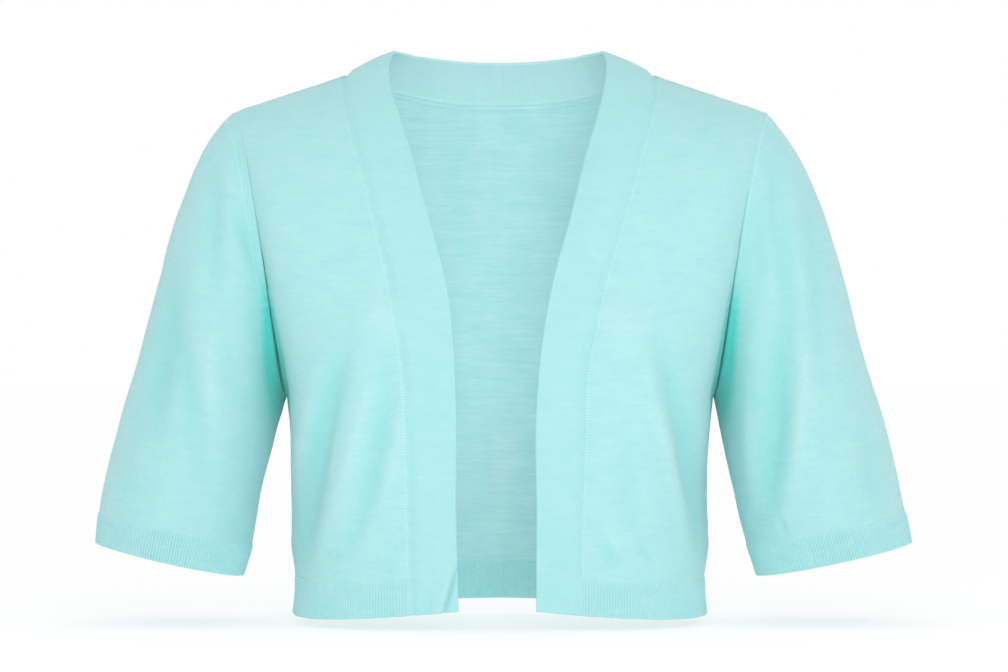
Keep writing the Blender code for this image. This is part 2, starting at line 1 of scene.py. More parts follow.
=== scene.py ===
"""Looks of a cropped open-front cardigan in fine jersey, filled out as if worn.

The file is laid out as an add-on and is run as a script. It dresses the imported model: every
cut piece of the garment is a thin shell on the form of its solid, with the folds, puckers, ribs
and stitches that the solid leaves out, in knit that follows the cloth.

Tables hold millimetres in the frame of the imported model: the front faces -Y, the wearer's left
side is at +X, and Z is up.
"""

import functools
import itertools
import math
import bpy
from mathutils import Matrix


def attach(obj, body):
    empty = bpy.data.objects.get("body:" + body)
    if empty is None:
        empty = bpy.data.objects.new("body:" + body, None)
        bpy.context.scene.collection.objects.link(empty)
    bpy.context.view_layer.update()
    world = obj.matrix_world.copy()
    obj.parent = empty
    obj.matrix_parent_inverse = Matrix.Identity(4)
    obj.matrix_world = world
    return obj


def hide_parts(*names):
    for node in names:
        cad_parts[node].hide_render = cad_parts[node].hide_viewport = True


bl_info = {
    "name": "Cropped Cardigan",
    "version": (1, 0, 0),
    "blender": (4, 5, 0),
    "location": "3D View > Sidebar > Cardigan",
    "description": "Dresses the packed model of a cropped open-front cardigan in fine jersey",
    "category": "Add Mesh",
}

import bpy
import numpy as np
from bpy.props import FloatProperty, FloatVectorProperty, PointerProperty

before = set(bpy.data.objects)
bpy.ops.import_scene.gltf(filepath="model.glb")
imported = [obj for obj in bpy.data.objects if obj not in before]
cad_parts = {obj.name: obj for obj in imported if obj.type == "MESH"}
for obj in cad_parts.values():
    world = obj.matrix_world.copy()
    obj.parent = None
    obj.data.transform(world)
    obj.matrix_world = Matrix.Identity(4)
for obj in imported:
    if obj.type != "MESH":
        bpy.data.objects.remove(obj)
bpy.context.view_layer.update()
MILLIMETRE = 0.001

# Divisions. Levels run from -1 at the hem to 0 at the rib's seam, 1 at the underarm, 2 at the
# shoulder seam and, on the band, 3 at the centre back.
RIB_ROWS = 9
BAND_RIB_ROWS = 26
ROWS_BELOW_UNDERARM = 66
ROWS_OF_ARMHOLE = 122
FRONT_COLUMNS = 62
BACK_NECK_COLUMNS = 46
BACK_SHOULDER_COLUMNS = 46
SLEEVE_ROWS = 116
BAND_COLUMNS = 28
COLUMNS_OF_A_RIB = 5

# Finer lines of the grids lie this far from an edge, on lengths of about so much.
EDGE_LINES = (0.15, 0.5, 1.0, 1.7, 2.6)
RIB_DEPTH = 28
SIDE_LENGTH = 127
ARMHOLE_LENGTH = 240
FRONT_WIDTH = 150
SHOULDER_LENGTH = 90
SLEEVE_LENGTH = 280
BAND_WIDTH = 38

# Points along a trial line, a trial row and a trial ring, by which levels and ribs are spaced.
LINE_TRIALS = 800
ROW_TRIALS = 400
RING_TRIALS = 800

# Faces that meet at more than this angle are shaded apart, as at a sewn edge.
SHARP = math.radians(75)

# Key places of the pattern.
UNDERARM_HEIGHT = -226
FRONT_RIB_TOP = -353
SIDE_RIB_TOP = -357
BACK_RIB_TOP = -351
UNDERARM = (158, 0, UNDERARM_HEIGHT)
SHOULDER_TIP = (197.5, 0, -15.5)
ARMHOLE_DEPTH_FRONT = 54
ARMHOLE_DEPTH_BACK = 50
ARMHOLE_HOLLOW = 8
HOLLOW_SHARE = 0.3
CUFF_TOP_OUTSIDE = -309
CUFF_TOP_INSIDE = -332.6
CUFF_EDGE_SHARE = 1.1
NECK_SHARE = 6 / 11
BACK_NECK_LEVEL = 1.35

# How far the band's middle is crowned, how much higher than its seam its free edge reaches the
# level of the rib's top, and how far its outer layer stands proud.
BAND_CROWN = 1.2
BAND_RISE_AT_RIB = 2
BAND_RELIEF = 1.1


def table(names, *rows):
    """Named columns of numbers, one row for each section, point or fold."""
    return dict(zip(names.split(), np.array(rows, float).T))


# The band's seam from hem to shoulder, then round the back neck: how far each side reaches
# from the middle. "right" and "left" are the wearer's.
BAND_SEAM = table(
    "height depth right left",
    (-381, -102, 63, 57),
    (-321, -107, 64, 57),
    (-262, -112, 65, 59),
    (-206, -112, 68, 61),
    (-177, -109, 72, 66.5),
    (-143, -101, 78, 74),
    (-106, -92, 87, 84.5),
    (-72, -80, 95.5, 94.5),
    (-45, -66, 103, 102),
    (-19, -48, 110.5, 109.5),
    (-1, -29, 114, 113),
    (9, -14, 114.5, 113.5),
    (12.5, 0, 113, 113),
    (10.5, 13, 109, 109),
    (6.5, 31, 97, 97),
    (1.5, 50, 79, 79),
    (-3, 64, 57, 57),
    (-6.3, 72, 29, 29),
    (-7, 74, 0, 0),
)
BAND_SEAM_SHOULDER_ROW = 12

# The band's free edge over the same stretch.
BAND_EDGE = table(
    "height depth right left",
    (-378, -102, 29.5, 26),
    (-306, -108, 31, 26),
    (-230, -112, 31, 26),
    (-179, -109, 33.5, 31),
    (-155, -105, 36, 35),
    (-129, -100, 41.5, 41),
    (-105, -93, 48, 48),
    (-82, -85, 54.5, 54),
    (-50, -70, 63.5, 62),
    (-20, -53, 73, 71),
    (-2, -39, 79, 75.5),
    (13, -25, 81.5, 78),
    (25, -11, 80, 77.5),
    (29.5, 0, 78, 76),
    (29.5, 14, 73.5, 71.5),
    (28.5, 30, 63, 62),
    (26.8, 43, 46, 46),
    (25, 50, 24, 24),
    (24.2, 52, 0, 0),
)
BAND_EDGE_SHOULDER_ROW = 13

SIDE_SEAM = table(
    "height reach",
    (-385, 152.5),
    (-368, 151),
    (SIDE_RIB_TOP, 151.5),
    (-339, 154),
    (-310, 153.5),
    (-280, 153),
    (-250, 155),
    (UNDERARM_HEIGHT, 158),
)
CENTRE_BACK = table(
    "height depth",
    (-380, 86),
    (BACK_RIB_TOP, 87),
    (-300, 88),
    (-250, 87),
    (-190, 92),
    (-130, 98),
    (-80, 97),
    (-45, 88),
    (-20, 79),
    (-7, 74),
)

# Shape of a panel's rows: the headings in degrees from +X towards +Y with which a row leaves
# the band or the centre back and meets the outer seam, for how much of its length it holds
# them, and how far its middle dips.
FRONT_SECTIONS = table(
    "level leaves meets hold_start hold_end dips",
    (0, 2, 90, 0.42, 0.46, 2.5),
    (0.5, -2, 90, 0.44, 0.46, 1),
    (1, -8, 90, 0.50, 0.46, 0),
    (1.25, -2, 82, 0.46, 0.42, 0),
    (1.5, 7, 68, 0.40, 0.36, 0),
    (1.75, 8, 40, 0.36, 0.34, 0),
    (2, 0, 0, 0.33, 0.33, 0),
)
BACK_SECTIONS = table(
    "level leaves meets hold_start hold_end dips",
    (0, 0, -90, 0.48, 0.40, 0),
    (1, 0, -90, 0.52, 0.40, 0),
    (1.25, 0, -78, 0.52, 0.36, 0),
    (1.5, 0, -62, 0.48, 0.33, 0),
    (1.75, 0, -36, 0.40, 0.32, 0),
    (2, 0, 0, 0.33, 0.33, 0),
)

# Sleeve outlines seen from the front, and half depths by the share of the sleeve's length.
SLEEVE_OUTSIDE = table(
    "height right left",
    (-15.5, 197.5, 197.5),
    (-24, 206, 204.5),
    (-40, 217.5, 216),
    (-58, 226, 226.5),
    (-77, 233, 235),
    (-105, 243, 244),
    (-147, 254, 256),
    (-191, 265.5, 267.5),
    (-245, 281, 284),
    (CUFF_TOP_OUTSIDE, 295.5, 298.5),
    (-333, 297.8, 303),
)
SLEEVE_INSIDE = table(
    "height right left",
    (UNDERARM_HEIGHT, 158, 158),
    (-235, 160.5, 160),
    (-248, 164.5, 162.5),
    (-264, 168.5, 166),
    (-290, 175.5, 171.5),
    (-313, 179.5, 176),
    (CUFF_TOP_INSIDE, 183, 182),
    (-357.5, 190, 190.5),
)
SLEEVE_SECTIONS = table(
    "share front back forward",
    (0, ARMHOLE_DEPTH_FRONT, ARMHOLE_DEPTH_BACK, 0),
    (0.15, 59, 55, 0),
    (0.35, 63, 60, 1),
    (0.6, 63, 61, 3),
    (0.85, 60, 60, 5),
    (1, 59, 59, 6),
    (CUFF_EDGE_SHARE, 60, 60, 6),
)

# Folds as soft troughs, or ridges where the depth is negative, seen from the front (face -1)
# or the back (face 1): three points of each in X and height, half width and depth.
FOLDS = table(
    "face x_top top x_mid mid x_low low half_width sinks",
    # right front, from the bust and the side down to the rib
    (-1, -110, -184, -132, -264, -147, -360, 9.5, 9),
    (-1, -77, -192, -88, -264, -112, -344, 7, 4.6),
    (-1, -134, -215, -146, -268, -153, -325, 6, -3),
    (-1, -94, -208, -108, -266, -130, -336, 6, -2.2),
    (-1, -68, -212, -74, -262, -88, -312, 5, -1.4),
    (-1, -95, -148, -84, -166, -78, -184, 14, -2.6),
    (-1, -132, -333, -121, -339, -109, -341, 4, 2.0),
    (-1, -84, -338, -80, -347, -74, -352, 3.5, 1.8),
    (-1, -70, -322, -73, -333, -80, -341, 4, 1.2),
    (-1, -91, -230, -83, -227, -75, -226, 3, -0.7),
    # left front
    (-1, 114, -182, 136, -262, 150, -354, 9, 7),
    (-1, 102, -196, 121, -262, 137, -335, 6, -2.2),
    (-1, 89, -236, 92, -285, 97, -328, 8, 1.6),
    (-1, 78, -150, 88, -168, 102, -190, 14, -2.6),
    (-1, 70, -320, 77, -336, 86, -352, 4, 2.0),
    (-1, 76, -314, 84, -332, 94, -351, 3.5, -1.2),
    (-1, 101, -326, 106, -337, 113, -348, 4, 1.8),
    (-1, 152, -4, 151, -20, 149, -38, 3.5, 0.8),
    # along the armholes, where the fronts fold back against the sleeves
    (-1, -186, -62, -181, -110, -173, -170, 11, 1.6),
    (-1, -174, -136, -166, -196, -155, -258, 11, 3.6),
    (-1, 184, -66, 180, -116, 173, -172, 11, 1.3),
    (-1, 174, -136, 167, -194, 156, -258, 11, 3.4),
    # right sleeve, front
    (-1, -239, -120, -245, -195, -270, -312, 11, 5),
    (-1, -233, -172, -226, -222, -213, -290, 8, 3.6),
    (-1, -210, -44, -208, -100, -207, -156, 7, 3.2),
    (-1, -197, -30, -191, -46, -184, -70, 4, 1.8),
    (-1, -197, -74, -184, -108, -168, -152, 5, 2.6),
    (-1, -202, -52, -196, -76, -183, -100, 4, -1.4),
    (-1, -210, -170, -209, -208, -205, -250, 8, -2.6),
    (-1, -254, -225, -259, -262, -266, -300, 8, -2.4),
    # left sleeve, front
    (-1, 199, -36, 201, -80, 194, -128, 6, 2.6),
    (-1, 204, -86, 208, -140, 211, -200, 7, 3.6),
    (-1, 222, -58, 231, -130, 233, -215, 7, 2.6),
    (-1, 203, -166, 200, -240, 191, -322, 10, 6.5),
    (-1, 221, -180, 218, -240, 208, -304, 7, -2.6),
    (-1, 178, -215, 180, -262, 184, -312, 5, -1.6),
    (-1, 190, -68, 188, -108, 187, -152, 5, 2.0),
    (-1, 202, -312, 205, -320, 210, -328, 3, 1.4),
    (-1, 267, -245, 270, -278, 273, -309, 7, 1.8),
    # back
    (1, -62, -165, -92, -245, -124, -338, 10, 5),
    (1, 70, -182, 98, -250, 122, -334, 10, 4.6),
    (1, -6, -232, 4, -282, -4, -338, 12, 3),
    (1, -100, -200, -114, -260, -137, -320, 6, -1.8),
    (1, 40, -210, 52, -268, 60, -330, 6, 2.0),
    (1, -38, -250, -46, -290, -60, -336, 6, 1.8),
    (1, -20, -318, -2, -326, 16, -336, 4, 1.4),
    (1, -26, -334, -6, -342, 12, -345, 3, 0.9),
    (1, -120, -40, -140, -92, -150, -160, 9, 2.4),
    (1, 118, -42, 139, -96, 151, -166, 8, 2.2),
    (1, -30, -30, 0, -38, 30, -30, 7, 1.2),
    # sleeves, behind
    (1, -236, -105, -240, -190, -260, -296, 9, 4.8),
    (1, -208, -150, -204, -220, -200, -292, 7, 3.8),
    (1, -222, -160, -225, -230, -232, -290, 6, -1.5),
    (1, 232, -96, 241, -180, 262, -292, 9, 4.8),
    (1, 206, -140, 207, -215, 202, -298, 7, 3.8),
    (1, 220, -170, 224, -230, 229, -292, 6, -1.5),
)

# A fold fades along its length as a sine to the power of its fullness, from this share of its
# half turn, and over this depth where the cloth turns to the side. It reaches this many half
# widths, and has the full painted shade of a hollow where it sinks this far, and the full
# painted highlight of a ridge where it stands out as far.
FOLD_STEPS = 41
FOLD_END = 0.04
FOLD_FULLNESS = 1.1
FOLD_SIDE_DEPTH = 18
FOLD_REACH = 3
DEPTH_OF_FULL_PAINTED_SHADE_AND_HIGHLIGHT = 5.0

# Painted shade of the underarm: how deep it is, how far it reaches over the sleeve, over the body
# and along the rest of the seam, by which turn of the armhole it narrows, and where it ends.
SHADE_DEPTH = 2.0
SHADE_OVER_SLEEVE = 33
SHADE_OVER_BODY = 20
SHADE_BY_SEAM = 6
SHADE_NARROWS = 0.6
SHADE_ENDS = (1.0, 1.65)
SHADE_STEPS = 41

# The band's own folds: the crease across its lower corner on the right front, shallow dents and
# swellings, and the bends at the shoulders.
BAND_FOLDS = table(
    "face x_top top x_mid mid x_low low half_width sinks",
    (-1, -26, -334, -35, -362, -43, -392, 2.2, 3.2),
    (-1, -30, -338, -39.5, -363, -48, -390, 2.8, -1.6),
    (-1, -50, -364, -50, -373, -52, -386, 2.5, 0.8),
    (-1, -44, -338, -41, -346, -34, -352, 6, -1.0),
    (-1, 33, -300, 37, -330, 36, -372, 9, 1.0),
    (-1, -52, -180, -49, -220, -50, -262, 10, 0.9),
    (1, -58, 34, -66, 22, -76, 4, 3.5, 1.0),
    (1, 58, 34, 67, 24, 74, 6, 4.5, -0.8),
)

# Uneven rippling of the cloth: the size of a ripple, how far it rises and its seed.
RIPPLES = table(
    "size rises seed",
    (34, 0.55, 3),
    (15, 0.22, 4),
    (6, 0.06, 5),
)

# Cubes of random values along each side of their block, and how many blocks away from its corner
# the middle of the garment is.
CUBES = 48
BLOCKS_AWAY = 100.5

# Puckers beside a seam: their size, how far from it they reach, and their seed.
PUCKER_SIZE = 6.5
PUCKER_REACH = 8
PUCKER_SEED = 6

# How far from its seam the band follows the folds of the fronts, and how often and how far from
# its edges the back is softened.
BAND_FOLLOWS = 14
SOFTENINGS = 160
SOFTENING_REACH = 30

# The edges of a grid, the share of its thickness that a free edge keeps, and how the others are
# joined: how deep the cloth dips into the seam and over what reach.
FIRST_ROW, LAST_ROW = ("row", 0), ("row", -1)
FIRST_COLUMN, LAST_COLUMN = ("column", 0), ("column", -1)
FREE_EDGE = 0.1
SEWN = (0.2, 1.4)
KNITTED_ON = (0.0, 1.0)
BAND_SEWN = (0.6, 4.0)

# Over what reach ribs and the band rise from a seam. Then how high, how far from it and how wide
# the ridge of turned-in cloth is that runs beside it inside.
RIB_RISE = 4
BAND_RISE = 7
ALLOWANCE = 0.7
ALLOWANCE_PLACE = 1.9
ALLOWANCE_HALF_WIDTH = 0.9

# Ladders of linking stitches beside a seam: how far from it their middle is, half their width
# and the distance that stands for none. Then how thick and how flat a rung is, and its ends.
LADDER_FROM_BAND = 2.7
LADDER_FROM_ARMHOLE = {"right": 8.0, "left": 2.7}
LADDER_HALF = 1.7
FAR = 20
RUNG_THICK = 0.24
RUNG_FLATNESS = 0.7
RUNG_END = 0.05
RUNG_SIDES = 4
RUNG_RINGS = 5

# How each piece is cut and sewn, in metres.
CUTS = {
    # name without its side: slot, how it is held, width, length and area
    "back": ("jersey", "hung", 0.45, 0.385, 0.146),
    "front": ("jersey", "hung", 0.165, 0.385, 0.050),
    "sleeve": ("jersey", "hung", 0.41, 0.33, 0.082),
    "front_band": ("band", "folded", 0.045, 0.965, 0.0430),
    "hem_rib_back": ("rib", "stretched", 0.41, 0.029, 0.0119),
    "hem_rib_front": ("rib", "stretched", 0.168, 0.029, 0.0048),
    "cuff_rib": ("rib", "stretched", 0.37, 0.026, 0.0096),
}

# Which way each of the wearer's sides lies along X.
SIDES = {"left": 1, "right": -1}


# Sizes and colours that a user would change


def length_of(name, description, default):
    return FloatProperty(name=name, description=description, default=default, unit="LENGTH")


def colour_of(name, description, *default):
    return FloatVectorProperty(
        name=name, description=description, default=default, subtype="COLOR", size=3, min=0, max=1
    )


class CardiganSizes(bpy.types.PropertyGroup):
    jersey_wall: length_of("Jersey", "Thickness of the jersey", 0.0012)
    rib_pitch: length_of("Rib Pitch", "From one rib to the next", 0.0022)
    rib_relief: length_of("Rib Relief", "How far a hem's rib stands up", 0.0008)
    cuff_relief: length_of("Cuff Relief", "How far a cuff's rib stands up", 0.001)
    band_wall: length_of("Band", "Thickness of the doubled band", 0.0024)
    fold_depth: FloatProperty(
        name="Folds", description="Depth of the folds, as a share", default=1.0, subtype="FACTOR"
    )
    puckers: length_of("Puckers", "Rise of puckers at a seam", 0.0004)
    stitch_step: length_of("Stitch Step", "From stitch to stitch", 0.0021)
    wale: length_of("Wale", "Width of a column of knit", 0.0013)
    course: length_of("Course", "Height of a row of knit", 0.0010)


class CardiganColours(bpy.types.PropertyGroup):
    yarn: colour_of("Yarn", "Colour of the yarn", 0.422, 0.785, 0.795)
    # Painted shade between the stitches.
    painted_stitch_shade: colour_of("Depths", "Colour between the stitches", 0.21, 0.58, 0.59)
    # Painted shade in the hollows of folds.
    painted_fold_shade: colour_of("Hollows", "Colour in the hollows of folds", 0.3, 0.75, 0.75)
    # Painted shade under the arms, a deep teal.
    painted_underarm_shade: colour_of(
        "Underarm", "Colour where light comes only through the cloth", 0.05, 0.68, 0.61
    )
    # Paler yarn for wisps, patches and the seams' twist, and also painted light: the highlight on
    # ridges and the lighter inner faces.
    pale_yarn_and_painted_light: colour_of("Bloom", "Colour where the yarn is paler", 0.61, 0.84, 0.85)
    floor: colour_of("Floor", "Colour of the floor", 0.42, 0.42, 0.42)


def in_mm(length):
    return length / MILLIMETRE


def ease(values, reach):
    """From 0 to 1 over a reach, as 3t^2 - 2t^3."""
    share = np.clip(values / reach, 0, 1)
    return share * share * (3 - 2 * share)


# Lines and shares along them


def unit(vectors):
    """The same directions, one long."""
    return vectors / np.maximum(np.linalg.norm(vectors, axis=-1, keepdims=True), 1e-12)


def cubic(values, marks, points, slopes):
    """A curve through points at marks with the given slopes: between two marks it is the cubic
    2t^3 - 3t^2 + 1 of the first point, its complement of the second, and t^3 - 2t^2 + t and
    t^3 - t^2 of their slopes."""
    values = np.clip(values, marks[0], marks[-1])
    first = np.clip(np.searchsorted(marks, values, side="right") - 1, 0, len(marks) - 2)
    shape = (-1,) + (1,) * (points.ndim - 1)
    span = (marks[first + 1] - marks[first]).reshape(shape)
    share = (values - marks[first]).reshape(shape) / span
    kept = 2 * share**3 - 3 * share**2 + 1
    pulls = (share**3 - 2 * share**2 + share) * slopes[first]
    pulls = pulls + (share**3 - share**2) * slopes[first + 1]
    return kept * points[first] + (1 - kept) * points[first + 1] + pulls * span


def smooth_line(points):
    """A smooth line through points, as a function of distance, and each point's distance."""
    marks = np.concatenate([[0], np.cumsum(np.linalg.norm(np.diff(points, axis=0), axis=1))])
    slopes = np.gradient(points, marks, axis=0)
    return lambda distance: cubic(np.atleast_1d(distance), marks, points, slopes), marks


def read(columns, key, values, name):
    """A table's column, read between its rows along a smooth line."""
    marks, column = columns[key], columns[name]
    return cubic(np.atleast_1d(values), marks, column, np.gradient(column, marks))


def distance_at_height(line, end, height):
    """How far along a rising or falling line it passes a height."""
    trial = np.linspace(0, end, LINE_TRIALS)
    heights = line(trial)[:, 2]
    order = np.argsort(heights)
    return np.interp(height, heights[order], trial[order])


def read_at(levels, points, known, heights, corner=None):
    """A smooth line through points, read at levels, which are known at its start, where it
    passes the heights, at its corner point if one is given, and at its end."""
    line, marks = smooth_line(points)
    stops = [marks[-1]] if corner is None else [marks[corner], marks[-1]]
    passed = [distance_at_height(line, stops[0], height) for height in heights]
    return line(np.interp(levels, known, [0, *passed, *stops]))


def resampled(values, marks, spots, period=None):
    """Columns of values that are known at marks, read at other spots."""
    columns = [np.interp(spots, marks, column, period=period) for column in values.T]
    return np.stack(columns, axis=1)


def edged(steps, length, near=True, far=True):
    """Shares of a length in even steps, with finer ones close to the ends that are named."""
    fine = np.array(EDGE_LINES) / length
    shares = [np.linspace(0, 1, steps + 1)]
    if near:
        shares.append(fine)
    if far:
        shares.append(1 - fine)
    return np.unique(np.concatenate(shares).round(9))


def lengths(line):
    """How far along a line, or along each line of a stack, each of its points lies."""
    steps = np.linalg.norm(np.diff(line, axis=0), axis=-1)
    return np.concatenate([np.zeros((1, *steps.shape[1:])), np.cumsum(steps, axis=0)])


def widths(grid):
    """How far along its row each point of a grid lies."""
    return lengths(grid.swapaxes(0, 1)).T


def rejoined(grid):
    """The grid of a tube, with its first column again after its last."""
    return np.concatenate([grid, grid[:, :1]], axis=1)


def cells(index):
    """The four corners of every cell of a grid of numbers, one after another round it."""
    return [index[:-1, :-1], index[:-1, 1:], index[1:, 1:], index[1:, :-1]]


RIB_LEVELS = edged(RIB_ROWS, RIB_DEPTH) - 1
BAND_RIB_LEVELS = edged(BAND_RIB_ROWS, RIB_DEPTH) - 1
BODY_LEVELS = np.concatenate(
    [
        edged(ROWS_BELOW_UNDERARM, SIDE_LENGTH, far=False),
        1 + edged(ROWS_OF_ARMHOLE, ARMHOLE_LENGTH, near=False)[1:],
    ]
)
NECK_LEVELS = 2 + np.linspace(0, 1, BACK_NECK_COLUMNS + 1)
BAND_LEVELS = np.concatenate([BAND_RIB_LEVELS, BODY_LEVELS[1:], NECK_LEVELS[1:]])
UNDERARM_ROW = int(np.argmin(abs(BODY_LEVELS - 1)))
SHOULDER_ROW = len(BODY_LEVELS) - 1

# The rows' turns up the armhole, from the underarm to the shoulder tip.
TURNS_UP = math.pi * (BODY_LEVELS[UNDERARM_ROW:] - 1)


# The body


def band_line(columns, corner, rib_top, side, levels):
    """The band's seam or free edge at each level: a smooth line through the table's points."""
    points = np.stack([columns[side], columns["depth"], columns["height"]], axis=1)
    return read_at(levels, points, (-1, 0, 1, 2, 3), (rib_top, UNDERARM_HEIGHT), corner)


def band_seam(side, levels):
    return band_line(BAND_SEAM, BAND_SEAM_SHOULDER_ROW, FRONT_RIB_TOP, side, levels)


def band_edge(side, levels):
    rib_top = FRONT_RIB_TOP + BAND_RISE_AT_RIB
    return band_line(BAND_EDGE, BAND_EDGE_SHOULDER_ROW, rib_top, side, levels)


def armhole(turns):
    """The armhole seam: an ellipse from the underarm at 0 up the front to the shoulder tip at
    pi and down the back, hollowed towards the chest above."""
    middle = (np.array(UNDERARM, float) + SHOULDER_TIP) / 2
    half = (np.array(SHOULDER_TIP, float) - UNDERARM) / 2
    depth = np.where(np.sin(turns) > 0, ARMHOLE_DEPTH_FRONT, ARMHOLE_DEPTH_BACK)
    points = middle - np.cos(turns)[:, None] * half
    points[:, 1] -= depth * np.sin(turns)
    points[:, 0] -= ARMHOLE_HOLLOW * np.abs(np.sin(turns)) * np.sin(turns / 2) ** 2
    return points


def outer_seam(back, levels):
    """The side seam up to the underarm, then the armhole seam to the shoulder tip."""
    side = np.stack([SIDE_SEAM["reach"], 0 * SIDE_SEAM["reach"], SIDE_SEAM["height"]], axis=1)
    below = read_at(levels, side, (-1, 0, 1), (SIDE_RIB_TOP,))
    turns = math.pi * np.clip(levels - 1, 0, 1)
    above = armhole(-turns if back else turns)
    return np.where((levels > 1)[:, None], above, below)


def sections(start, end, shape, levels, shares):
    """The rows of a panel: cubic arcs from start to end that keep the leaving and meeting
    headings of the table for the held share of the straight distance."""
    leaves, meets, hold_start, hold_end, dips = (
        read(shape, "level", levels, name)
        for name in ("leaves", "meets", "hold_start", "hold_end", "dips")
    )
    reach = np.linalg.norm((end - start)[:, :2], axis=1)
    rise = (end - start)[:, 2] / 3
    out, back = np.radians(leaves), np.radians(meets)
    pull = (hold_start * reach)[:, None] * np.stack([np.cos(out), np.sin(out)], axis=1)
    push = (hold_end * reach)[:, None] * np.stack([np.cos(back), np.sin(back)], axis=1)
    first = start + np.column_stack([pull, rise])
    last = end - np.column_stack([push, rise])
    share = shares[None, :, None]
    rows = (
        (1 - share) ** 3 * start[:, None]
        + 3 * share * (1 - share) ** 2 * first[:, None]
        + 3 * share**2 * (1 - share) * last[:, None]
        + share**3 * end[:, None]
    )
    rows[..., 2] -= dips[:, None] * 4 * shares * (1 - shares)
    return rows


def front_rows(side, levels, shares):
    """A front, or its rib, from the band's seam to the side and armhole seam."""
    return sections(
        band_seam(side, levels), outer_seam(False, levels), FRONT_SECTIONS, levels, shares
    )


def back_top(side, shares):
    """The top of half a back: the neck seam from the centre, then the shoulder seam."""
    neck = band_seam(side, 3 - np.minimum(shares / NECK_SHARE, 1))
    corner = band_seam(side, np.array([2.0]))
    along = np.clip((shares - NECK_SHARE) / (1 - NECK_SHARE), 0, 1)[:, None]
    return np.where((shares > NECK_SHARE)[:, None], corner + along * (SHOULDER_TIP - corner), neck)


def back_rows(side, levels, shares):
    """Half a back, or of its rib, from the centre back to the side and armhole seam. The upper
    rows bend to the line of the neck and shoulder seams."""
    depth, height = CENTRE_BACK["depth"], CENTRE_BACK["height"]
    centre = np.stack([0 * depth, depth, height], axis=1)
    start = read_at(levels, centre, (-1, 0, 1, 2), (BACK_RIB_TOP, UNDERARM_HEIGHT))
    rows = sections(start, outer_seam(True, levels), BACK_SECTIONS, levels, shares)
    if levels[-1] == 2:
        near_top = np.clip((levels - BACK_NECK_LEVEL) / (2 - BACK_NECK_LEVEL), 0, 1) ** 2
        rows = rows + near_top[:, None, None] * (back_top(side, shares) - rows[-1])
    return rows


# The sleeves


def sleeve_rings(side, shares, turns):
    """Rings of a sleeve, from the armhole seam at share 0 to the cuff's seam at 1 and its edge
    past it: ellipses from the sleeve's inside line to its outside line, hollowed near the
    armhole as the armhole is."""
    ends = []
    for columns, cuff_top in (
        (SLEEVE_INSIDE, CUFF_TOP_INSIDE),
        (SLEEVE_OUTSIDE, CUFF_TOP_OUTSIDE),
    ):
        points = np.stack([columns[side], 0 * columns[side], columns["height"]], axis=1)
        ends.append(read_at(shares, points, (0, 1, CUFF_EDGE_SHARE), (cuff_top,)))
    middle = (ends[0] + ends[1])[:, None] / 2
    half = (ends[1] - ends[0])[:, None] / 2
    front, back, forward = (
        read(SLEEVE_SECTIONS, "share", shares, name)[:, None]
        for name in ("front", "back", "forward")
    )
    sine = np.sin(turns)[None, :]
    rings = middle - np.cos(turns)[None, :, None] * half
    rings[..., 1] -= np.where(sine > 0, front, back) * sine + forward
    hollow = ARMHOLE_HOLLOW * np.clip(1 - shares / HOLLOW_SHARE, 0, 1)[:, None]
    rings[..., 0] -= hollow * np.abs(sine) * np.sin(turns / 2)[None, :] ** 2
    return rings


# Folds and ripples


def fold_depths(points, folds):
    """How far each point sinks: every fold is a trough with a bell-shaped section along a
    smooth line through its three points, fading out towards both ends."""
    sunk = np.zeros(points.shape[:-1])
    along = np.linspace(0, 1, FOLD_STEPS)[:, None]
    for fold in range(len(folds["face"])):
        corner = {name: column[fold] for name, column in folds.items()}
        top = np.array([corner["x_top"], corner["top"]])
        low = np.array([corner["x_low"], corner["low"]])
        bend = 2 * np.array([corner["x_mid"], corner["mid"]]) - (top + low) / 2
        line = (1 - along) ** 2 * top + 2 * along * (1 - along) * bend + along**2 * low
        reach = FOLD_REACH * corner["half_width"]
        flat = points[..., ::2]
        near = np.all((flat > line.min(axis=0) - reach) & (flat < line.max(axis=0) + reach), -1)
        near &= points[..., 1] * corner["face"] > 0
        apart = np.linalg.norm(flat[near][:, None] - line, axis=-1)
        nearest = apart.argmin(axis=-1)
        length_share = FOLD_END + (1 - 2 * FOLD_END) * along[nearest, 0]
        fade = np.sin(math.pi * length_share) ** FOLD_FULLNESS
        section = np.exp(-((apart.min(axis=-1) / corner["half_width"]) ** 2))
        facing = np.clip(points[near][:, 1] * corner["face"] / FOLD_SIDE_DEPTH, 0, 1)
        sunk[near] += corner["sinks"] * section * fade * facing
    return sunk


def underarm_shade(points, sleeve):
    """How deep in the underarm's painted shade each point lies: bells round the lower half of the
    armhole's seam, wide at the underarm and narrow above it."""
    turns = np.linspace(-SHADE_ENDS[1], SHADE_ENDS[1], SHADE_STEPS)
    line = armhole(turns)
    depth = SHADE_DEPTH * (1 - ease(abs(turns) - SHADE_ENDS[0], SHADE_ENDS[1] - SHADE_ENDS[0]))
    wide = SHADE_OVER_SLEEVE if sleeve else SHADE_OVER_BODY
    reach = SHADE_BY_SEAM + (wide - SHADE_BY_SEAM) * np.exp(-((turns / SHADE_NARROWS) ** 2))
    shade = np.zeros(points.shape[:-1])
    one_side = np.concatenate([abs(points[..., :1]), points[..., 1:]], axis=-1)
    for spot, deep, far in zip(line, depth, reach):
        apart = np.linalg.norm(one_side - spot, axis=-1)
        shade = np.maximum(shade, deep * np.exp(-((apart / far) ** 2)))
    return shade


@functools.lru_cache(maxsize=None)
def lattice(seed):
    """Random values from -1 to 1 at the corners of a block of cubes."""
    return np.random.default_rng(int(seed)).uniform(-1, 1, (CUBES, CUBES, CUBES))


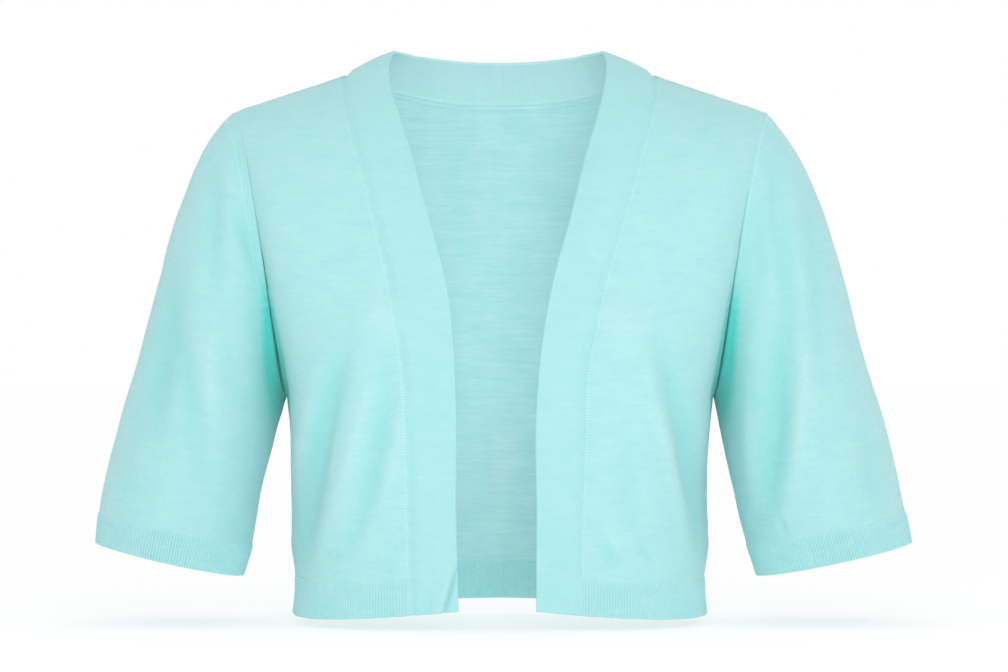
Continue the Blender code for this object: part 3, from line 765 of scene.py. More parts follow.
def ripple(points, size, seed):
    """Smooth noise from -1 to 1 in space: random values at the corners of cubes of that size,
    blended across each cube with the ease 3t^2 - 2t^3 along each axis."""
    block = lattice(seed)
    spots = points / size + CUBES * BLOCKS_AWAY
    base = np.floor(spots).astype(int)
    share = ease(spots - base, 1)
    total = np.zeros(points.shape[:-1])
    for corner in itertools.product((0, 1), repeat=3):
        weight = np.prod(np.where(corner, share, 1 - share), axis=-1)
        cell = (base + corner) % CUBES
        total += weight * block[cell[..., 0], cell[..., 1], cell[..., 2]]
    return total


# Cloth


def grid_normals(grid, outward, closed):
    """Directions square to a grid of points, from its rows and columns."""
    along_rows = np.gradient(grid, axis=0)
    if closed:
        across = (np.roll(grid, -1, axis=1) - np.roll(grid, 1, axis=1)) / 2
    else:
        across = np.gradient(grid, axis=1)
    return outward * unit(np.cross(across, along_rows))


class Cloth:
    """A cut piece of cloth: a grid of points on its outer face, their outward directions, its
    wall and how far its face stands proud. A closed piece is a tube, whose last column joins
    its first. `seams` says how each joined edge is joined. `ladder` is the edge with linking
    stitches beside it, which of its points have them, and how far from the edge their middle
    is. `hollow` and `shade` are how deep each point is in a fold and in the underarm's shade,
    from which the knit paints shade in folds and under the arms and a highlight on ridges."""

    def __init__(self, grid, outward, wall, proud=0.0, closed=False, seams=None, ladder=None):
        self.grid = grid
        self.outward = outward
        self.wall = wall
        self.proud = proud
        self.closed = closed
        self.seams = seams or {}
        self.ladder = ladder
        self.normals = grid_normals(grid, outward, closed)
        self.inside_proud = 0.0
        self.rise_reach = RIB_RISE
        self.hollow = np.zeros(grid.shape[:2])
        self.shade = self.hollow

    def edge_distances(self):
        """How far every point lies from each edge, along its row or column."""
        down = lengths(self.grid)
        found = {FIRST_ROW: down, LAST_ROW: down[-1] - down}
        if not self.closed:
            over = widths(self.grid)
            found[FIRST_COLUMN] = over
            found[LAST_COLUMN] = over[:, -1:] - over
        return found

    def soften(self):
        """Rounds off kinks inside the cloth: every point moves towards the middle of its four
        neighbours, again and again, less and less towards the edges."""
        distances = self.edge_distances().values()
        share = ease(np.min(list(distances), axis=0), SOFTENING_REACH)[1:-1, 1:-1, None] / 2
        grid = self.grid.copy()
        for _ in range(SOFTENINGS):
            beside = grid[:-2, 1:-1] + grid[2:, 1:-1] + grid[1:-1, :-2] + grid[1:-1, 2:]
            grid[1:-1, 1:-1] += share * (beside / 4 - grid[1:-1, 1:-1])
        self.grid = grid
        self.normals[1:-1, 1:-1] = grid_normals(grid, self.outward, False)[1:-1, 1:-1]

    def shape(self, sizes, folds, followed=None):
        """Sinks the folds and raises the ripples, and puckers the cloth beside its seams. A
        band also follows the folds of the cloth that it is sewn to."""
        sunk = fold_depths(self.grid, folds)
        if followed:
            near = 1 - ease(self.edge_distances()[FIRST_COLUMN], BAND_FOLLOWS)
            sunk += near * fold_depths(self.grid, followed)
        sunk *= sizes.fold_depth
        # How deep each point lies in a fold, for the knit's painted shade in folds and painted
        # highlight on ridges.
        self.hollow = np.clip(sunk / DEPTH_OF_FULL_PAINTED_SHADE_AND_HIGHLIGHT, -1, 1)
        # How deep each point lies in the underarm's shade, which the knit paints.
        self.shade = underarm_shade(self.grid, self.closed)
        for size, rises, seed in zip(*RIPPLES.values()):
            sunk -= rises * ripple(self.grid, size, seed)
        distances = self.edge_distances()
        near = sum(
            (dips > 0) * np.exp(-distances[edge] / PUCKER_REACH)
            for edge, (dips, _) in self.seams.items()
        )
        sunk -= in_mm(sizes.puckers) * near * ripple(self.grid, PUCKER_SIZE, PUCKER_SEED)
        self.grid = self.grid - self.normals * sunk[..., None]
        self.normals = grid_normals(self.grid, self.outward, self.closed)

    def faces(self):
        """The outer and the inner face. At a free edge they draw together in a quarter circle.
        At a sewn edge whatever stands proud runs down to the cloth, the cloth dips into the
        seam, and a ridge of turned-in cloth runs beside it inside."""
        flat = np.zeros(self.grid.shape[:2])
        rise, fullness = flat + 1, flat + 1
        dip, ridge = flat, flat
        for edge, distance in self.edge_distances().items():
            if edge in self.seams:
                rise = rise * ease(distance, self.rise_reach)
                dips, reach = self.seams[edge]
                dip = np.maximum(dip, dips * (1 - ease(distance, reach)))
                beside = (distance - ALLOWANCE_PLACE) / ALLOWANCE_HALF_WIDTH
                ridge = np.maximum(ridge, ALLOWANCE * np.exp(-(beside**2)))
            else:
                radius = (self.wall + np.max(self.proud)) / 2
                bend = 1 - np.clip(distance / radius, 0, 1)
                fullness = np.minimum(fullness, np.maximum(np.sqrt(1 - bend**2), FREE_EDGE))
        outer = self.proud * rise - dip
        inner = -self.wall - self.inside_proud * rise - ridge
        middle, half = (outer + inner) / 2, (outer - inner) / 2 * fullness
        return tuple(
            self.grid + self.normals * height[..., None]
            for height in (middle + half, middle - half)
        )

    def ladder_map(self, step):
        """How far each point lies from the middle of the linking stitches, away from their
        edge, and how far along that edge in whole stitches, in metres."""
        rows, columns = self.grid.shape[:2]
        shape = (rows, columns + self.closed)
        away, along = np.full(shape, float(FAR)), np.zeros(shape)
        if self.ladder:
            edge, which, middle = self.ladder
            level = edge[0] == "row"
            grid, distance = self.grid, self.edge_distances()[edge] - middle
            if self.closed:
                grid, distance = rejoined(grid), rejoined(distance)
            marks = lengths(grid.take(edge[1], axis=0 if level else 1))
            marks = marks * round(marks[-1] / step) * step / marks[-1]
            part = (slice(None), which) if level else which
            away[part] = distance[part]
            along += marks if level else marks[:, None]
        return np.stack([np.minimum(away, FAR), along], axis=-1) * MILLIMETRE

    def knit_map(self):
        """Where each point lies in the flat knit, in metres: sums of the steps along the
        courses, which run level, and along the wales, which run straight up the cloth. A
        tube is measured round itself and from its last ring instead."""
        if self.closed:
            up = lengths(rejoined(self.grid))
            across = np.broadcast_to(widths(rejoined(self.grid)).mean(axis=0), up.shape)
            return np.stack([across, up[-1] - up], axis=-1) * MILLIMETRE
        up = np.array([0, 0, 1.0])
        wale = unit(up - (self.normals @ up)[..., None] * self.normals)
        course = np.cross(wale, self.normals)
        spine = self.grid.shape[1] // 2
        places = []
        for heading in (course, wale):
            rise = np.diff(self.grid[:, spine], axis=0)
            mean = (heading[1:, spine] + heading[:-1, spine]) / 2
            start = np.concatenate([[0], np.cumsum((rise * mean).sum(-1))])
            steps = np.diff(self.grid, axis=1)
            mean = (heading[:, 1:] + heading[:, :-1]) / 2
            run = np.cumsum((steps * mean).sum(-1), axis=1)
            run = np.concatenate([np.zeros((len(run), 1)), run], axis=1)
            places.append(start[:, None] + run - run[:, spine : spine + 1])
        return np.stack(places, axis=-1) * MILLIMETRE

    def strip_map(self):
        """The same for a band, whose wales run along it: distance across it and along it."""
        over = widths(self.grid)
        down = lengths(self.grid).mean(axis=1)[:, None]
        return np.stack([over, np.broadcast_to(down, over.shape)], axis=-1) * MILLIMETRE

    def build(self, name, materials, flat_map):
        """Makes the piece's mesh: both faces and the narrow walls that close its edges."""
        rows, columns = self.grid.shape[:2]
        outside = np.arange(rows * columns).reshape(rows, columns)
        if self.closed:
            outside = rejoined(outside)
        inside = outside + rows * columns
        spot = np.arange(flat_map[..., 0].size).reshape(flat_map.shape[:2])
        parts = [(cells(outside), cells(spot), 0), (cells(inside), cells(spot), 1)]
        walls = [((0,), True), ((-1,), False)]
        if not self.closed:
            walls += [((slice(None), 0), False), ((slice(None), -1), True)]
        for edge, back in walls:
            here, there = (slice(1, None), slice(-1)) if back else (slice(-1), slice(1, None))
            out, into, seen = outside[edge], inside[edge], spot[edge]
            corners = [out[here], out[there], into[there], into[here]]
            parts.append((corners, [seen[here], seen[there], seen[there], seen[here]], 0))
        quads, spots, slots = [], [], []
        for corners, seen, slot in parts:
            order = slice(None, None, -self.outward if slot else self.outward)
            quads.append(np.stack(corners[order], axis=-1).reshape(-1, 4))
            spots.append(np.stack(seen[order], axis=-1).reshape(-1, 4))
            slots.append(np.full(len(quads[-1]), slot * (len(materials) > 1)))
        quads, spots, slots = (np.concatenate(part) for part in (quads, spots, slots))
        step = in_mm(bpy.context.scene.cardigan_sizes.stitch_step)
        maps = {
            title: flat.reshape(-1, 2)[spots.ravel()]
            for title, flat in (("knit", flat_map), ("seam", self.ladder_map(step)))
        }
        points = np.concatenate([face.reshape(-1, 3) for face in self.faces()]) * MILLIMETRE
        piece = make_mesh(name, points, quads, materials, slots, maps)
        # The attribute carries painted shade of the folds and the underarm, and below naught the
        # painted highlight of ridges; on the inner face the folds count the other way.
        depth = piece.data.attributes.new("hollow", "FLOAT", "POINT")
        both = np.concatenate([self.shade + self.hollow, self.shade - self.hollow])
        depth.data.foreach_set("value", both.astype(np.float32).ravel())
        return piece


def make_mesh(name, points, quads, materials, slots=None, maps=None):
    """An object at the origin from points in metres and faces of four corners."""
    mesh = bpy.data.meshes.new(name)
    mesh.vertices.add(len(points))
    mesh.vertices.foreach_set("co", points.astype(np.float32).ravel())
    mesh.loops.add(quads.size)
    mesh.loops.foreach_set("vertex_index", quads.astype(np.int32).ravel())
    mesh.polygons.add(len(quads))
    mesh.polygons.foreach_set("loop_start", np.arange(0, quads.size, 4, dtype=np.int32))
    for material in materials:
        mesh.materials.append(material)
    if slots is not None:
        mesh.polygons.foreach_set("material_index", slots.astype(np.int32))
    for title, spots in (maps or {}).items():
        layer = mesh.uv_layers.new(name=title)
        layer.data.foreach_set("uv", spots.astype(np.float32).ravel())
    mesh.update(calc_edges=True)
    mesh.validate()
    mesh.shade_smooth()
    mesh.set_sharp_from_angle(angle=SHARP)
    piece = bpy.data.objects.new(name, mesh)
    bpy.context.scene.collection.objects.link(piece)
    return piece


def share_seam(*places):
    """Gives the pieces that meet at a seam or a corner the same outward directions there,
    each piece's read at the same shares of the seam's length."""
    lines, shares = [], []
    for piece, index in places:
        lines.append(np.atleast_2d(piece.normals[index]))
        marks = lengths(np.atleast_2d(piece.grid[index]))
        shares.append(marks / max(marks[-1], 1e-9))
    for (piece, index), own in zip(places, shares):
        total = sum(resampled(line, known, own) for line, known in zip(lines, shares))
        piece.normals[index] = unit(total).reshape(piece.normals[index].shape)


def on_side(grid, side):
    """A grid worked out for the wearer's left, moved to the side it is for."""
    return grid * np.array([SIDES[side], 1, 1])


# The cut pieces


def rib_shares(trial, sizes):
    """Even shares of a row, several for each rib, with a whole number of ribs."""
    marks = lengths(trial)
    ribs = round(marks[-1] / in_mm(sizes.rib_pitch))
    even = np.linspace(0, marks[-1], ribs * COLUMNS_OF_A_RIB + 1)
    return np.interp(even, marks, np.linspace(0, 1, len(trial)))


def ribbed(grid, outward, sizes, seams, closed=False):
    """A ribbed piece, raised on both faces, with ribs inside where furrows are outside. Each
    column stands up by the root of (1 - cos)/2 of its phase, so that the furrows are narrow."""
    relief = in_mm(sizes.cuff_relief if closed else sizes.rib_relief)
    phase = np.arange(grid.shape[1]) / COLUMNS_OF_A_RIB
    wave = np.sqrt((1 - np.cos(2 * math.pi * phase)) / 2)
    piece = Cloth(grid, outward, in_mm(sizes.jersey_wall), relief * wave, closed, seams)
    piece.inside_proud = relief * (1 - wave)
    return piece


def make_front(side, sizes):
    grid = on_side(front_rows(side, BODY_LEVELS, edged(FRONT_COLUMNS, FRONT_WIDTH)), side)
    seams = {FIRST_ROW: KNITTED_ON, LAST_ROW: SEWN, FIRST_COLUMN: BAND_SEWN, LAST_COLUMN: SEWN}
    ladder = (FIRST_COLUMN, slice(None), LADDER_FROM_BAND)
    return Cloth(grid, SIDES[side], in_mm(sizes.jersey_wall), seams=seams, ladder=ladder)


SHOULDER_SHARES = edged(BACK_SHOULDER_COLUMNS, SHOULDER_LENGTH, near=False)
BACK_SHARES = np.unique(
    np.concatenate(
        [
            np.linspace(0, NECK_SHARE, BACK_NECK_COLUMNS + 1),
            NECK_SHARE + (1 - NECK_SHARE) * SHOULDER_SHARES,
        ]
    ).round(9)
)


def make_back(sizes):
    left, right = (on_side(back_rows(side, BODY_LEVELS, BACK_SHARES), side) for side in SIDES)
    grid = np.concatenate([right[:, :0:-1], left], axis=1)
    seams = {FIRST_ROW: KNITTED_ON, LAST_ROW: BAND_SEWN, FIRST_COLUMN: SEWN, LAST_COLUMN: SEWN}
    middle = len(BACK_SHARES) - 1
    neck = slice(middle - BACK_NECK_COLUMNS, middle + BACK_NECK_COLUMNS + 1)
    ladder = (LAST_ROW, neck, LADDER_FROM_BAND)
    return Cloth(grid, -1, in_mm(sizes.jersey_wall), seams=seams, ladder=ladder)


def make_sleeve(side, sizes):
    turns = np.concatenate([TURNS_UP, -TURNS_UP[-2:0:-1]])
    grid = on_side(sleeve_rings(side, edged(SLEEVE_ROWS, SLEEVE_LENGTH), turns), side)
    seams = {FIRST_ROW: SEWN, LAST_ROW: KNITTED_ON}
    ladder = (FIRST_ROW, slice(None), LADDER_FROM_ARMHOLE[side])
    wall = in_mm(sizes.jersey_wall)
    return Cloth(grid, -SIDES[side], wall, closed=True, seams=seams, ladder=ladder)


def make_front_rib(side, sizes):
    trial = front_rows(side, np.array([0.0]), np.linspace(0, 1, ROW_TRIALS))[0]
    grid = on_side(front_rows(side, RIB_LEVELS, rib_shares(trial, sizes)), side)
    seams = {LAST_ROW: KNITTED_ON, FIRST_COLUMN: BAND_SEWN, LAST_COLUMN: SEWN}
    return ribbed(grid, SIDES[side], sizes, seams)


def make_back_rib(sizes):
    trial = back_rows("left", np.array([0.0]), np.linspace(0, 1, ROW_TRIALS))[0]
    left = back_rows("left", RIB_LEVELS, rib_shares(trial, sizes))
    grid = np.concatenate([on_side(left, "right")[:, :0:-1], left], axis=1)
    seams = {LAST_ROW: KNITTED_ON, FIRST_COLUMN: SEWN, LAST_COLUMN: SEWN}
    return ribbed(grid, -1, sizes, seams)


def make_cuff_rib(side, sizes):
    trial = sleeve_rings(side, np.array([1.0]), np.linspace(0, 2 * math.pi, RING_TRIALS))[0]
    turns = rib_shares(trial, sizes)[:-1] * 2 * math.pi
    rows = 1 + (CUFF_EDGE_SHARE - 1) * -RIB_LEVELS
    grid = on_side(sleeve_rings(side, rows, turns), side)
    return ribbed(grid, SIDES[side], sizes, {LAST_ROW: KNITTED_ON}, closed=True)


def make_band(sizes):
    """The doubled band, from the right front's hem round the back neck to the left front's:
    straight across from seam to free edge, and crowned between them."""
    across = edged(BAND_COLUMNS, BAND_WIDTH)
    halves = []
    for side in ("right", "left"):
        seam = on_side(band_seam(side, BAND_LEVELS), side)[:, None]
        edge = on_side(band_edge(side, BAND_LEVELS), side)[:, None]
        halves.append(seam + (edge - seam) * across[None, :, None])
    grid = np.concatenate([halves[0], halves[1][-2::-1]])
    crown = (BAND_CROWN * 4 * across * (1 - across))[None, :, None]
    grid = grid + grid_normals(grid, 1, closed=False) * crown
    wall = in_mm(sizes.band_wall) - BAND_RELIEF
    band = Cloth(grid, 1, wall, BAND_RELIEF, seams={FIRST_COLUMN: BAND_SEWN})
    band.rise_reach = BAND_RISE
    return band


def share_seams(pieces):
    """Shares outward directions along every seam and at every corner."""
    back, back_rib, band = pieces["back"], pieces["hem_rib_back"], pieces["front_band"]
    under = slice(0, UNDERARM_ROW + 1)
    over = slice(UNDERARM_ROW, None)
    around = np.arange(len(TURNS_UP))
    band_last = len(band.grid) - 1
    half = len(BACK_SHARES) - 1
    body_first = len(BAND_RIB_LEVELS) - 1
    shoulder_row = body_first + SHOULDER_ROW
    for side in SIDES:
        left = side == "left"
        front, sleeve = pieces[f"front_{side}"], pieces[f"sleeve_{side}"]
        front_rib, cuff_rib = pieces[f"hem_rib_front_{side}"], pieces[f"cuff_rib_{side}"]
        outer = -1 if left else 0
        neck = half + BACK_NECK_COLUMNS * SIDES[side]
        shoulder = np.arange(neck, 2 * half + 1) if left else np.arange(neck, -1, -1)
        rows = np.arange(shoulder_row + 1)
        if left:
            rows = band_last - rows
        share_seam((front, (under, -1)), (back, (under, outer)))
        share_seam((front_rib, (slice(None), -1)), (back_rib, (slice(None), outer)))
        share_seam((front, (over, -1)), (sleeve, (0, around)))
        share_seam((back, (over, outer)), (sleeve, (0, -around % sleeve.grid.shape[1])))
        share_seam((front, (-1, slice(None))), (back, (-1, shoulder)))
        share_seam((front, (slice(None), 0)), (band, (rows[body_first:], 0)))
        share_seam((front_rib, (slice(None), 0)), (band, (rows[: body_first + 1], 0)))
        share_seam((front, (0, slice(None))), (front_rib, (-1, slice(None))))
        share_ring(sleeve, cuff_rib)
        share_seam(
            (front, (UNDERARM_ROW, -1)), (back, (UNDERARM_ROW, outer)), (sleeve, (0, 0))
        )
        share_seam((front, (-1, -1)), (back, (-1, outer)), (sleeve, (0, around[-1])))
        share_seam((front, (-1, 0)), (back, (-1, neck)), (band, (rows[-1], 0)))
        share_seam((front, (0, 0)), (front_rib, (-1, 0)), (band, (rows[body_first], 0)))
        share_seam(
            (front, (0, -1)), (back, (0, outer)), (front_rib, (-1, -1)), (back_rib, (-1, outer))
        )
    share_seam((back, (0, slice(None))), (back_rib, (-1, slice(None))))
    columns = np.arange(half - BACK_NECK_COLUMNS, half + BACK_NECK_COLUMNS + 1)
    neck_rows = np.arange(shoulder_row, band_last - shoulder_row + 1)
    share_seam((back, (-1, columns[1:-1])), (band, (neck_rows[1:-1], 0)))


def share_ring(sleeve, cuff):
    """Shares outward directions round a sleeve's seam with its cuff. The two grids run the
    same way round from the same turn."""
    marks = [lengths(rejoined(piece.grid[-1:])[0]) for piece in (sleeve, cuff)]
    shares = [distance[:-1] / distance[-1] for distance in marks]
    lines = [sleeve.normals[-1].copy(), cuff.normals[-1].copy()]
    for piece, own in zip((sleeve, cuff), shares):
        total = sum(resampled(line, known, own, 1) for line, known in zip(lines, shares))
        piece.normals[-1] = unit(total)


@functools.lru_cache(maxsize=1)
def cut_and_sew(key):
    """All the cut pieces, shaped and joined along their seams."""
    sizes = bpy.context.scene.cardigan_sizes
    pieces = {
        "back": make_back(sizes),
        "hem_rib_back": make_back_rib(sizes),
        "front_band": make_band(sizes),
    }
    for side in SIDES:
        pieces[f"front_{side}"] = make_front(side, sizes)
        pieces[f"sleeve_{side}"] = make_sleeve(side, sizes)
        pieces[f"hem_rib_front_{side}"] = make_front_rib(side, sizes)
        pieces[f"cuff_rib_{side}"] = make_cuff_rib(side, sizes)
    share_seams(pieces)
    pieces["back"].soften()
    for name, piece in pieces.items():
        if name == "front_band":
            piece.shape(sizes, BAND_FOLDS, followed=FOLDS)
        else:
            piece.shape(sizes, FOLDS)
    share_seams(pieces)
    return pieces


def garment():
    """The cut pieces for the sizes that are set now."""
    sizes = bpy.context.scene.cardigan_sizes
    return cut_and_sew(tuple(getattr(sizes, name) for name in sizes.__annotations__))


# Materials

# Stitches, as shares of a wale, of a course or of their own height: how far a leg of yarn leans,
# how it ripples, how high the edge of a wale is and how wavy a purl ridge is. Then the ladder's
# fading and its holes in metres, and the heights of its rungs and holes.
LEG_LEANS = 0.62
LEG_RIPPLE = 0.3
WALE_EDGE = 0.3
PURL_BENDS = 0.22
LADDER_FADES = (0.0003, 0.0004)
HOLE_REACH = 0.0007
HOLE_DEPTH = 0.8
RUNG_HEIGHT = 0.4

# The relief of stitches and the size of a pale patch in metres, how much broader the second
# wisps are, and the values of the noise between which wisps and patches turn pale, with how far
# the wisps do. Then how much of each painted colour is mixed in: the painted highlight on
# ridges, and the painted shade in folds, under the arms and between the stitches.
STITCH_RELIEF = 0.0003
PATCH = (0.022, 0.019)
BROADER = 3.5
FINE_WISPS = (0.40, 0.74, 1.0)
BROAD_WISPS = (0.40, 0.70, 0.6)
PATCHES = (0.36, 0.68)
PAINTED_HIGHLIGHT_ON_RIDGES = 0.6
PAINTED_SHADE_IN_FOLDS = 0.7
PAINTED_SHADE_UNDER_ARMS = 0.9
PAINTED_SHADE_BETWEEN_STITCHES = 0.3


class Nodes:
    """A material's node tree, with short calls that add a node and give its output."""

    def __init__(self, name):
        self.material = bpy.data.materials.new(name)
        self.material.use_nodes = True
        self.tree = self.material.node_tree

    def add(self, kind, values=(), **settings):
        node = self.tree.nodes.new(kind)
        for name, value in settings.items():
            setattr(node, name, value)
        for slot, value in dict(values).items():
            self.put(node.inputs[slot], value)
        return node

    def put(self, socket, value):
        if isinstance(value, bpy.types.NodeSocket):
            self.tree.links.new(value, socket)
        else:
            socket.default_value = value

    def maths(self, operation, *values):
        node = self.add("ShaderNodeMath", dict(enumerate(values)), operation=operation)
        return node.outputs[0]

    def wave(self, turns):
        """The cosine of a number of turns."""
        return self.maths("COSINE", self.maths("MULTIPLY", turns, 2 * math.pi))

    def fall(self, value, start, end):
        """From 1 to 0 as a value goes from start to end."""
        limits = {0: value, 1: start, 2: end, 3: 1.0, 4: 0.0}
        return self.add("ShaderNodeMapRange", limits, interpolation_type="SMOOTHSTEP").outputs[0]

    def rise(self, value, start, end, top):
        """From 0 to a top as a value goes from start to end."""
        limits = {0: value, 1: start, 2: end, 3: 0.0, 4: top}
        return self.add("ShaderNodeMapRange", limits).outputs[0]

    def mix(self, share, first, second):
        node = self.add("ShaderNodeMix", data_type="RGBA")
        self.put(node.inputs["Factor"], share)
        self.put(node.inputs["A"], first)
        self.put(node.inputs["B"], second)
        return node.outputs["Result"]

    def noise(self, place, scale, detail=2.0):
        """Noise from 0 to 1."""
        values = {"Vector": place, "Scale": scale, "Detail": detail}
        return self.add("ShaderNodeTexNoise", values).outputs[0]

    def spots(self, title):
        """The two coordinates of one of the piece's maps, in metres."""
        place = self.add("ShaderNodeUVMap", uv_map=title).outputs[0]
        return self.add("ShaderNodeSeparateXYZ", {0: place}).outputs[:2]

    def finish(self, values):
        """Gives the material's own shader its inputs, and returns the material."""
        for name, value in values.items():
            self.put(self.tree.nodes["Principled BSDF"].inputs[name], value)
        return self.material


def streaks(nodes, across, up, width, height, detail=2.0):
    """Noise from 0 to 1 stretched along the courses: `width` by `height` metres a streak."""
    spot = {0: nodes.maths("DIVIDE", across, width), 1: nodes.maths("DIVIDE", up, height)}
    return nodes.noise(nodes.add("ShaderNodeCombineXYZ", spot).outputs[0], 1.0, detail)


def plain_stitches(nodes, across, up, wale, course):
    """Height of a jersey's face: in each wale two legs of yarn lean outwards and up, as cosine
    ripples of the course shifted by how far the spot is from the middle of its wale."""
    column = nodes.maths("DIVIDE", across, wale)
    from_edge = nodes.maths("MULTIPLY", nodes.maths("PINGPONG", column, 0.5), 2.0)
    shift = nodes.maths("MULTIPLY", from_edge, LEG_LEANS)
    phase = nodes.maths("ADD", nodes.maths("DIVIDE", up, course), shift)
    leg = nodes.maths("MULTIPLY_ADD", nodes.wave(phase), LEG_RIPPLE, 1 - LEG_RIPPLE)
    bow = nodes.maths("SINE", nodes.maths("MULTIPLY", from_edge, math.pi))
    bow = nodes.maths("MULTIPLY_ADD", bow, 1 - WALE_EDGE, WALE_EDGE)
    return nodes.maths("MULTIPLY", leg, bow)


def purl_stitches(nodes, across, up, wale, course):
    """Height of a jersey's wrong side: wavy ridges along the courses."""
    bend = nodes.maths("MULTIPLY", nodes.wave(nodes.maths("DIVIDE", across, wale)), PURL_BENDS)
    phase = nodes.maths("ADD", nodes.maths("DIVIDE", up, course), bend)
    return nodes.maths("MULTIPLY_ADD", nodes.wave(phase), 0.5, 0.5)


def linking_stitches(nodes, height, step):
    """Lays a ladder of linking stitches over the height of the knit, where the map of the
    seam says so: rungs as cosine ripples of the way along it, and a small hole at each end."""
    away, along = nodes.spots("seam")
    from_middle = nodes.maths("ABSOLUTE", away)
    turns = nodes.maths("DIVIDE", along, step)
    rung = nodes.maths("MULTIPLY_ADD", nodes.wave(turns), 0.5, 0.5)
    half = LADDER_HALF * MILLIMETRE
    within = nodes.fall(from_middle, half - LADDER_FADES[0], half + LADDER_FADES[1])
    from_end = nodes.maths("ABSOLUTE", nodes.maths("SUBTRACT", from_middle, half))
    ends = nodes.fall(from_end, 0, HOLE_REACH)
    ladder = nodes.maths("MULTIPLY_ADD", rung, RUNG_HEIGHT, RUNG_HEIGHT)
    holes = nodes.maths("MULTIPLY", ends, nodes.maths("SUBTRACT", 1.0, rung))
    height = nodes.maths("MULTIPLY_ADD", within, nodes.maths("SUBTRACT", ladder, height), height)
    return nodes.maths("MULTIPLY_ADD", holes, -HOLE_DEPTH, height)


KNITS = {
    # name: stitches, streaks, clouds, paleness, mottling, width and height of a wisp, ladder; the
    # paleness of the inner faces is painted light
    "jersey_outside": (plain_stitches, 0.15, 0.2, 0.0, 0.03, (0.006, 0.0013), True),
    "jersey_inside": (purl_stitches, 0.3, 0.36, 0.2, 0.05, (0.012, 0.001), False),
    "ribbing": (plain_stitches, 0.15, 0.2, 0.0, 0.03, (0.006, 0.0013), False),
    "band_jersey": (plain_stitches, 0.1, 0.1, 0.0, 0.03, (0.006, 0.0013), False),
    "band_inside": (plain_stitches, 0.05, 0.1, 0.6, 0.03, (0.006, 0.0013), False),
}


def knit(name):
    """Fine knit: stitches in relief, with painted shade between them, in the hollows of the
    folds and under the arms, and a painted highlight on ridges, with pale wisps along the
    courses, soft patches and a nap that lightens glancing edges."""
    found = bpy.data.materials.get(name)
    if found:
        return found
    stitches, streaky, cloudy, pale, mottle, (width, height), ladder = KNITS[name]
    sizes, colours = bpy.context.scene.cardigan_sizes, bpy.context.scene.cardigan_colours
    nodes = Nodes(name)
    across, up = nodes.spots("knit")
    rise = stitches(nodes, across, up, sizes.wale, sizes.course)
    if ladder:
        rise = linking_stitches(nodes, rise, sizes.stitch_step)
    fine = streaks(nodes, across, up, width, height, detail=3.0)
    broad = streaks(nodes, across, up, BROADER * width, BROADER * height)
    patches = streaks(nodes, across, up, *PATCH)
    wisps = nodes.maths("ADD", nodes.rise(fine, *FINE_WISPS), nodes.rise(broad, *BROAD_WISPS))
    share = nodes.maths("MULTIPLY_ADD", wisps, streaky, pale)
    share = nodes.maths("ADD", share, nodes.rise(patches, *PATCHES, cloudy))
    # How deep the point lies in a fold and in the underarm's shade, which the lines below paint as
    # shade or highlight.
    hollow = nodes.add("ShaderNodeAttribute", attribute_name="hollow").outputs["Fac"]
    # Painted highlight: paler on ridges, where the cloth stands out.
    share = nodes.maths("ADD", share, nodes.rise(hollow, 0.0, -1.0, PAINTED_HIGHLIGHT_ON_RIDGES))
    colour = nodes.mix(share, (*colours.yarn, 1), (*colours.pale_yarn_and_painted_light, 1))
    # Painted shade: a deeper colour in the hollows of folds.
    share = nodes.rise(hollow, 0.0, 1.0, PAINTED_SHADE_IN_FOLDS)
    colour = nodes.mix(share, colour, (*colours.painted_fold_shade, 1))
    # Painted shade under the arms: deep teal where the depth passes one.
    share = nodes.rise(hollow, 1.0, 2.0, PAINTED_SHADE_UNDER_ARMS)
    colour = nodes.mix(share, colour, (*colours.painted_underarm_shade, 1))
    # Painted shade between the stitches: darker where the stitches are low.
    share = nodes.maths("MULTIPLY_ADD", rise, -PAINTED_SHADE_BETWEEN_STITCHES, PAINTED_SHADE_BETWEEN_STITCHES)
    colour = nodes.mix(share, colour, (*colours.painted_stitch_shade, 1))
    both = nodes.maths("ADD", broad, fine)
    shade = nodes.maths("MULTIPLY_ADD", both, mottle * 2, 1 - mottle * 2)
    tint = nodes.add("ShaderNodeHueSaturation", {"Color": colour, "Value": shade})
    grain = nodes.maths("MULTIPLY_ADD", fine, 0.5, rise)
    bump = {"Strength": 0.5, "Distance": STITCH_RELIEF, "Height": grain}
    return nodes.finish(
        {
            "Base Color": tint.outputs[0],
            "Roughness": nodes.maths("MULTIPLY_ADD", fine, 0.1, 0.8),
            "Normal": nodes.add("ShaderNodeBump", bump).outputs[0],
            "Specular IOR Level": 0.2,
            "Sheen Weight": 0.4,
            "Sheen Roughness": 0.5,
            "Sheen Tint": (0.92, 1.0, 1.0, 1.0),
        }
    )


def sewing_thread():
    """Twisted yarn of the seams."""
    colours = bpy.context.scene.cardigan_colours
    nodes = Nodes("seam_yarn")
    place = nodes.add("ShaderNodeTexCoord").outputs["Object"]
    twist = nodes.noise(place, 900.0)
    colour = nodes.mix(twist, (*colours.yarn, 1), (*colours.pale_yarn_and_painted_light, 1))
    return nodes.finish({"Base Color": colour, "Roughness": 0.8, "Specular IOR Level": 0.25})


# Stitches


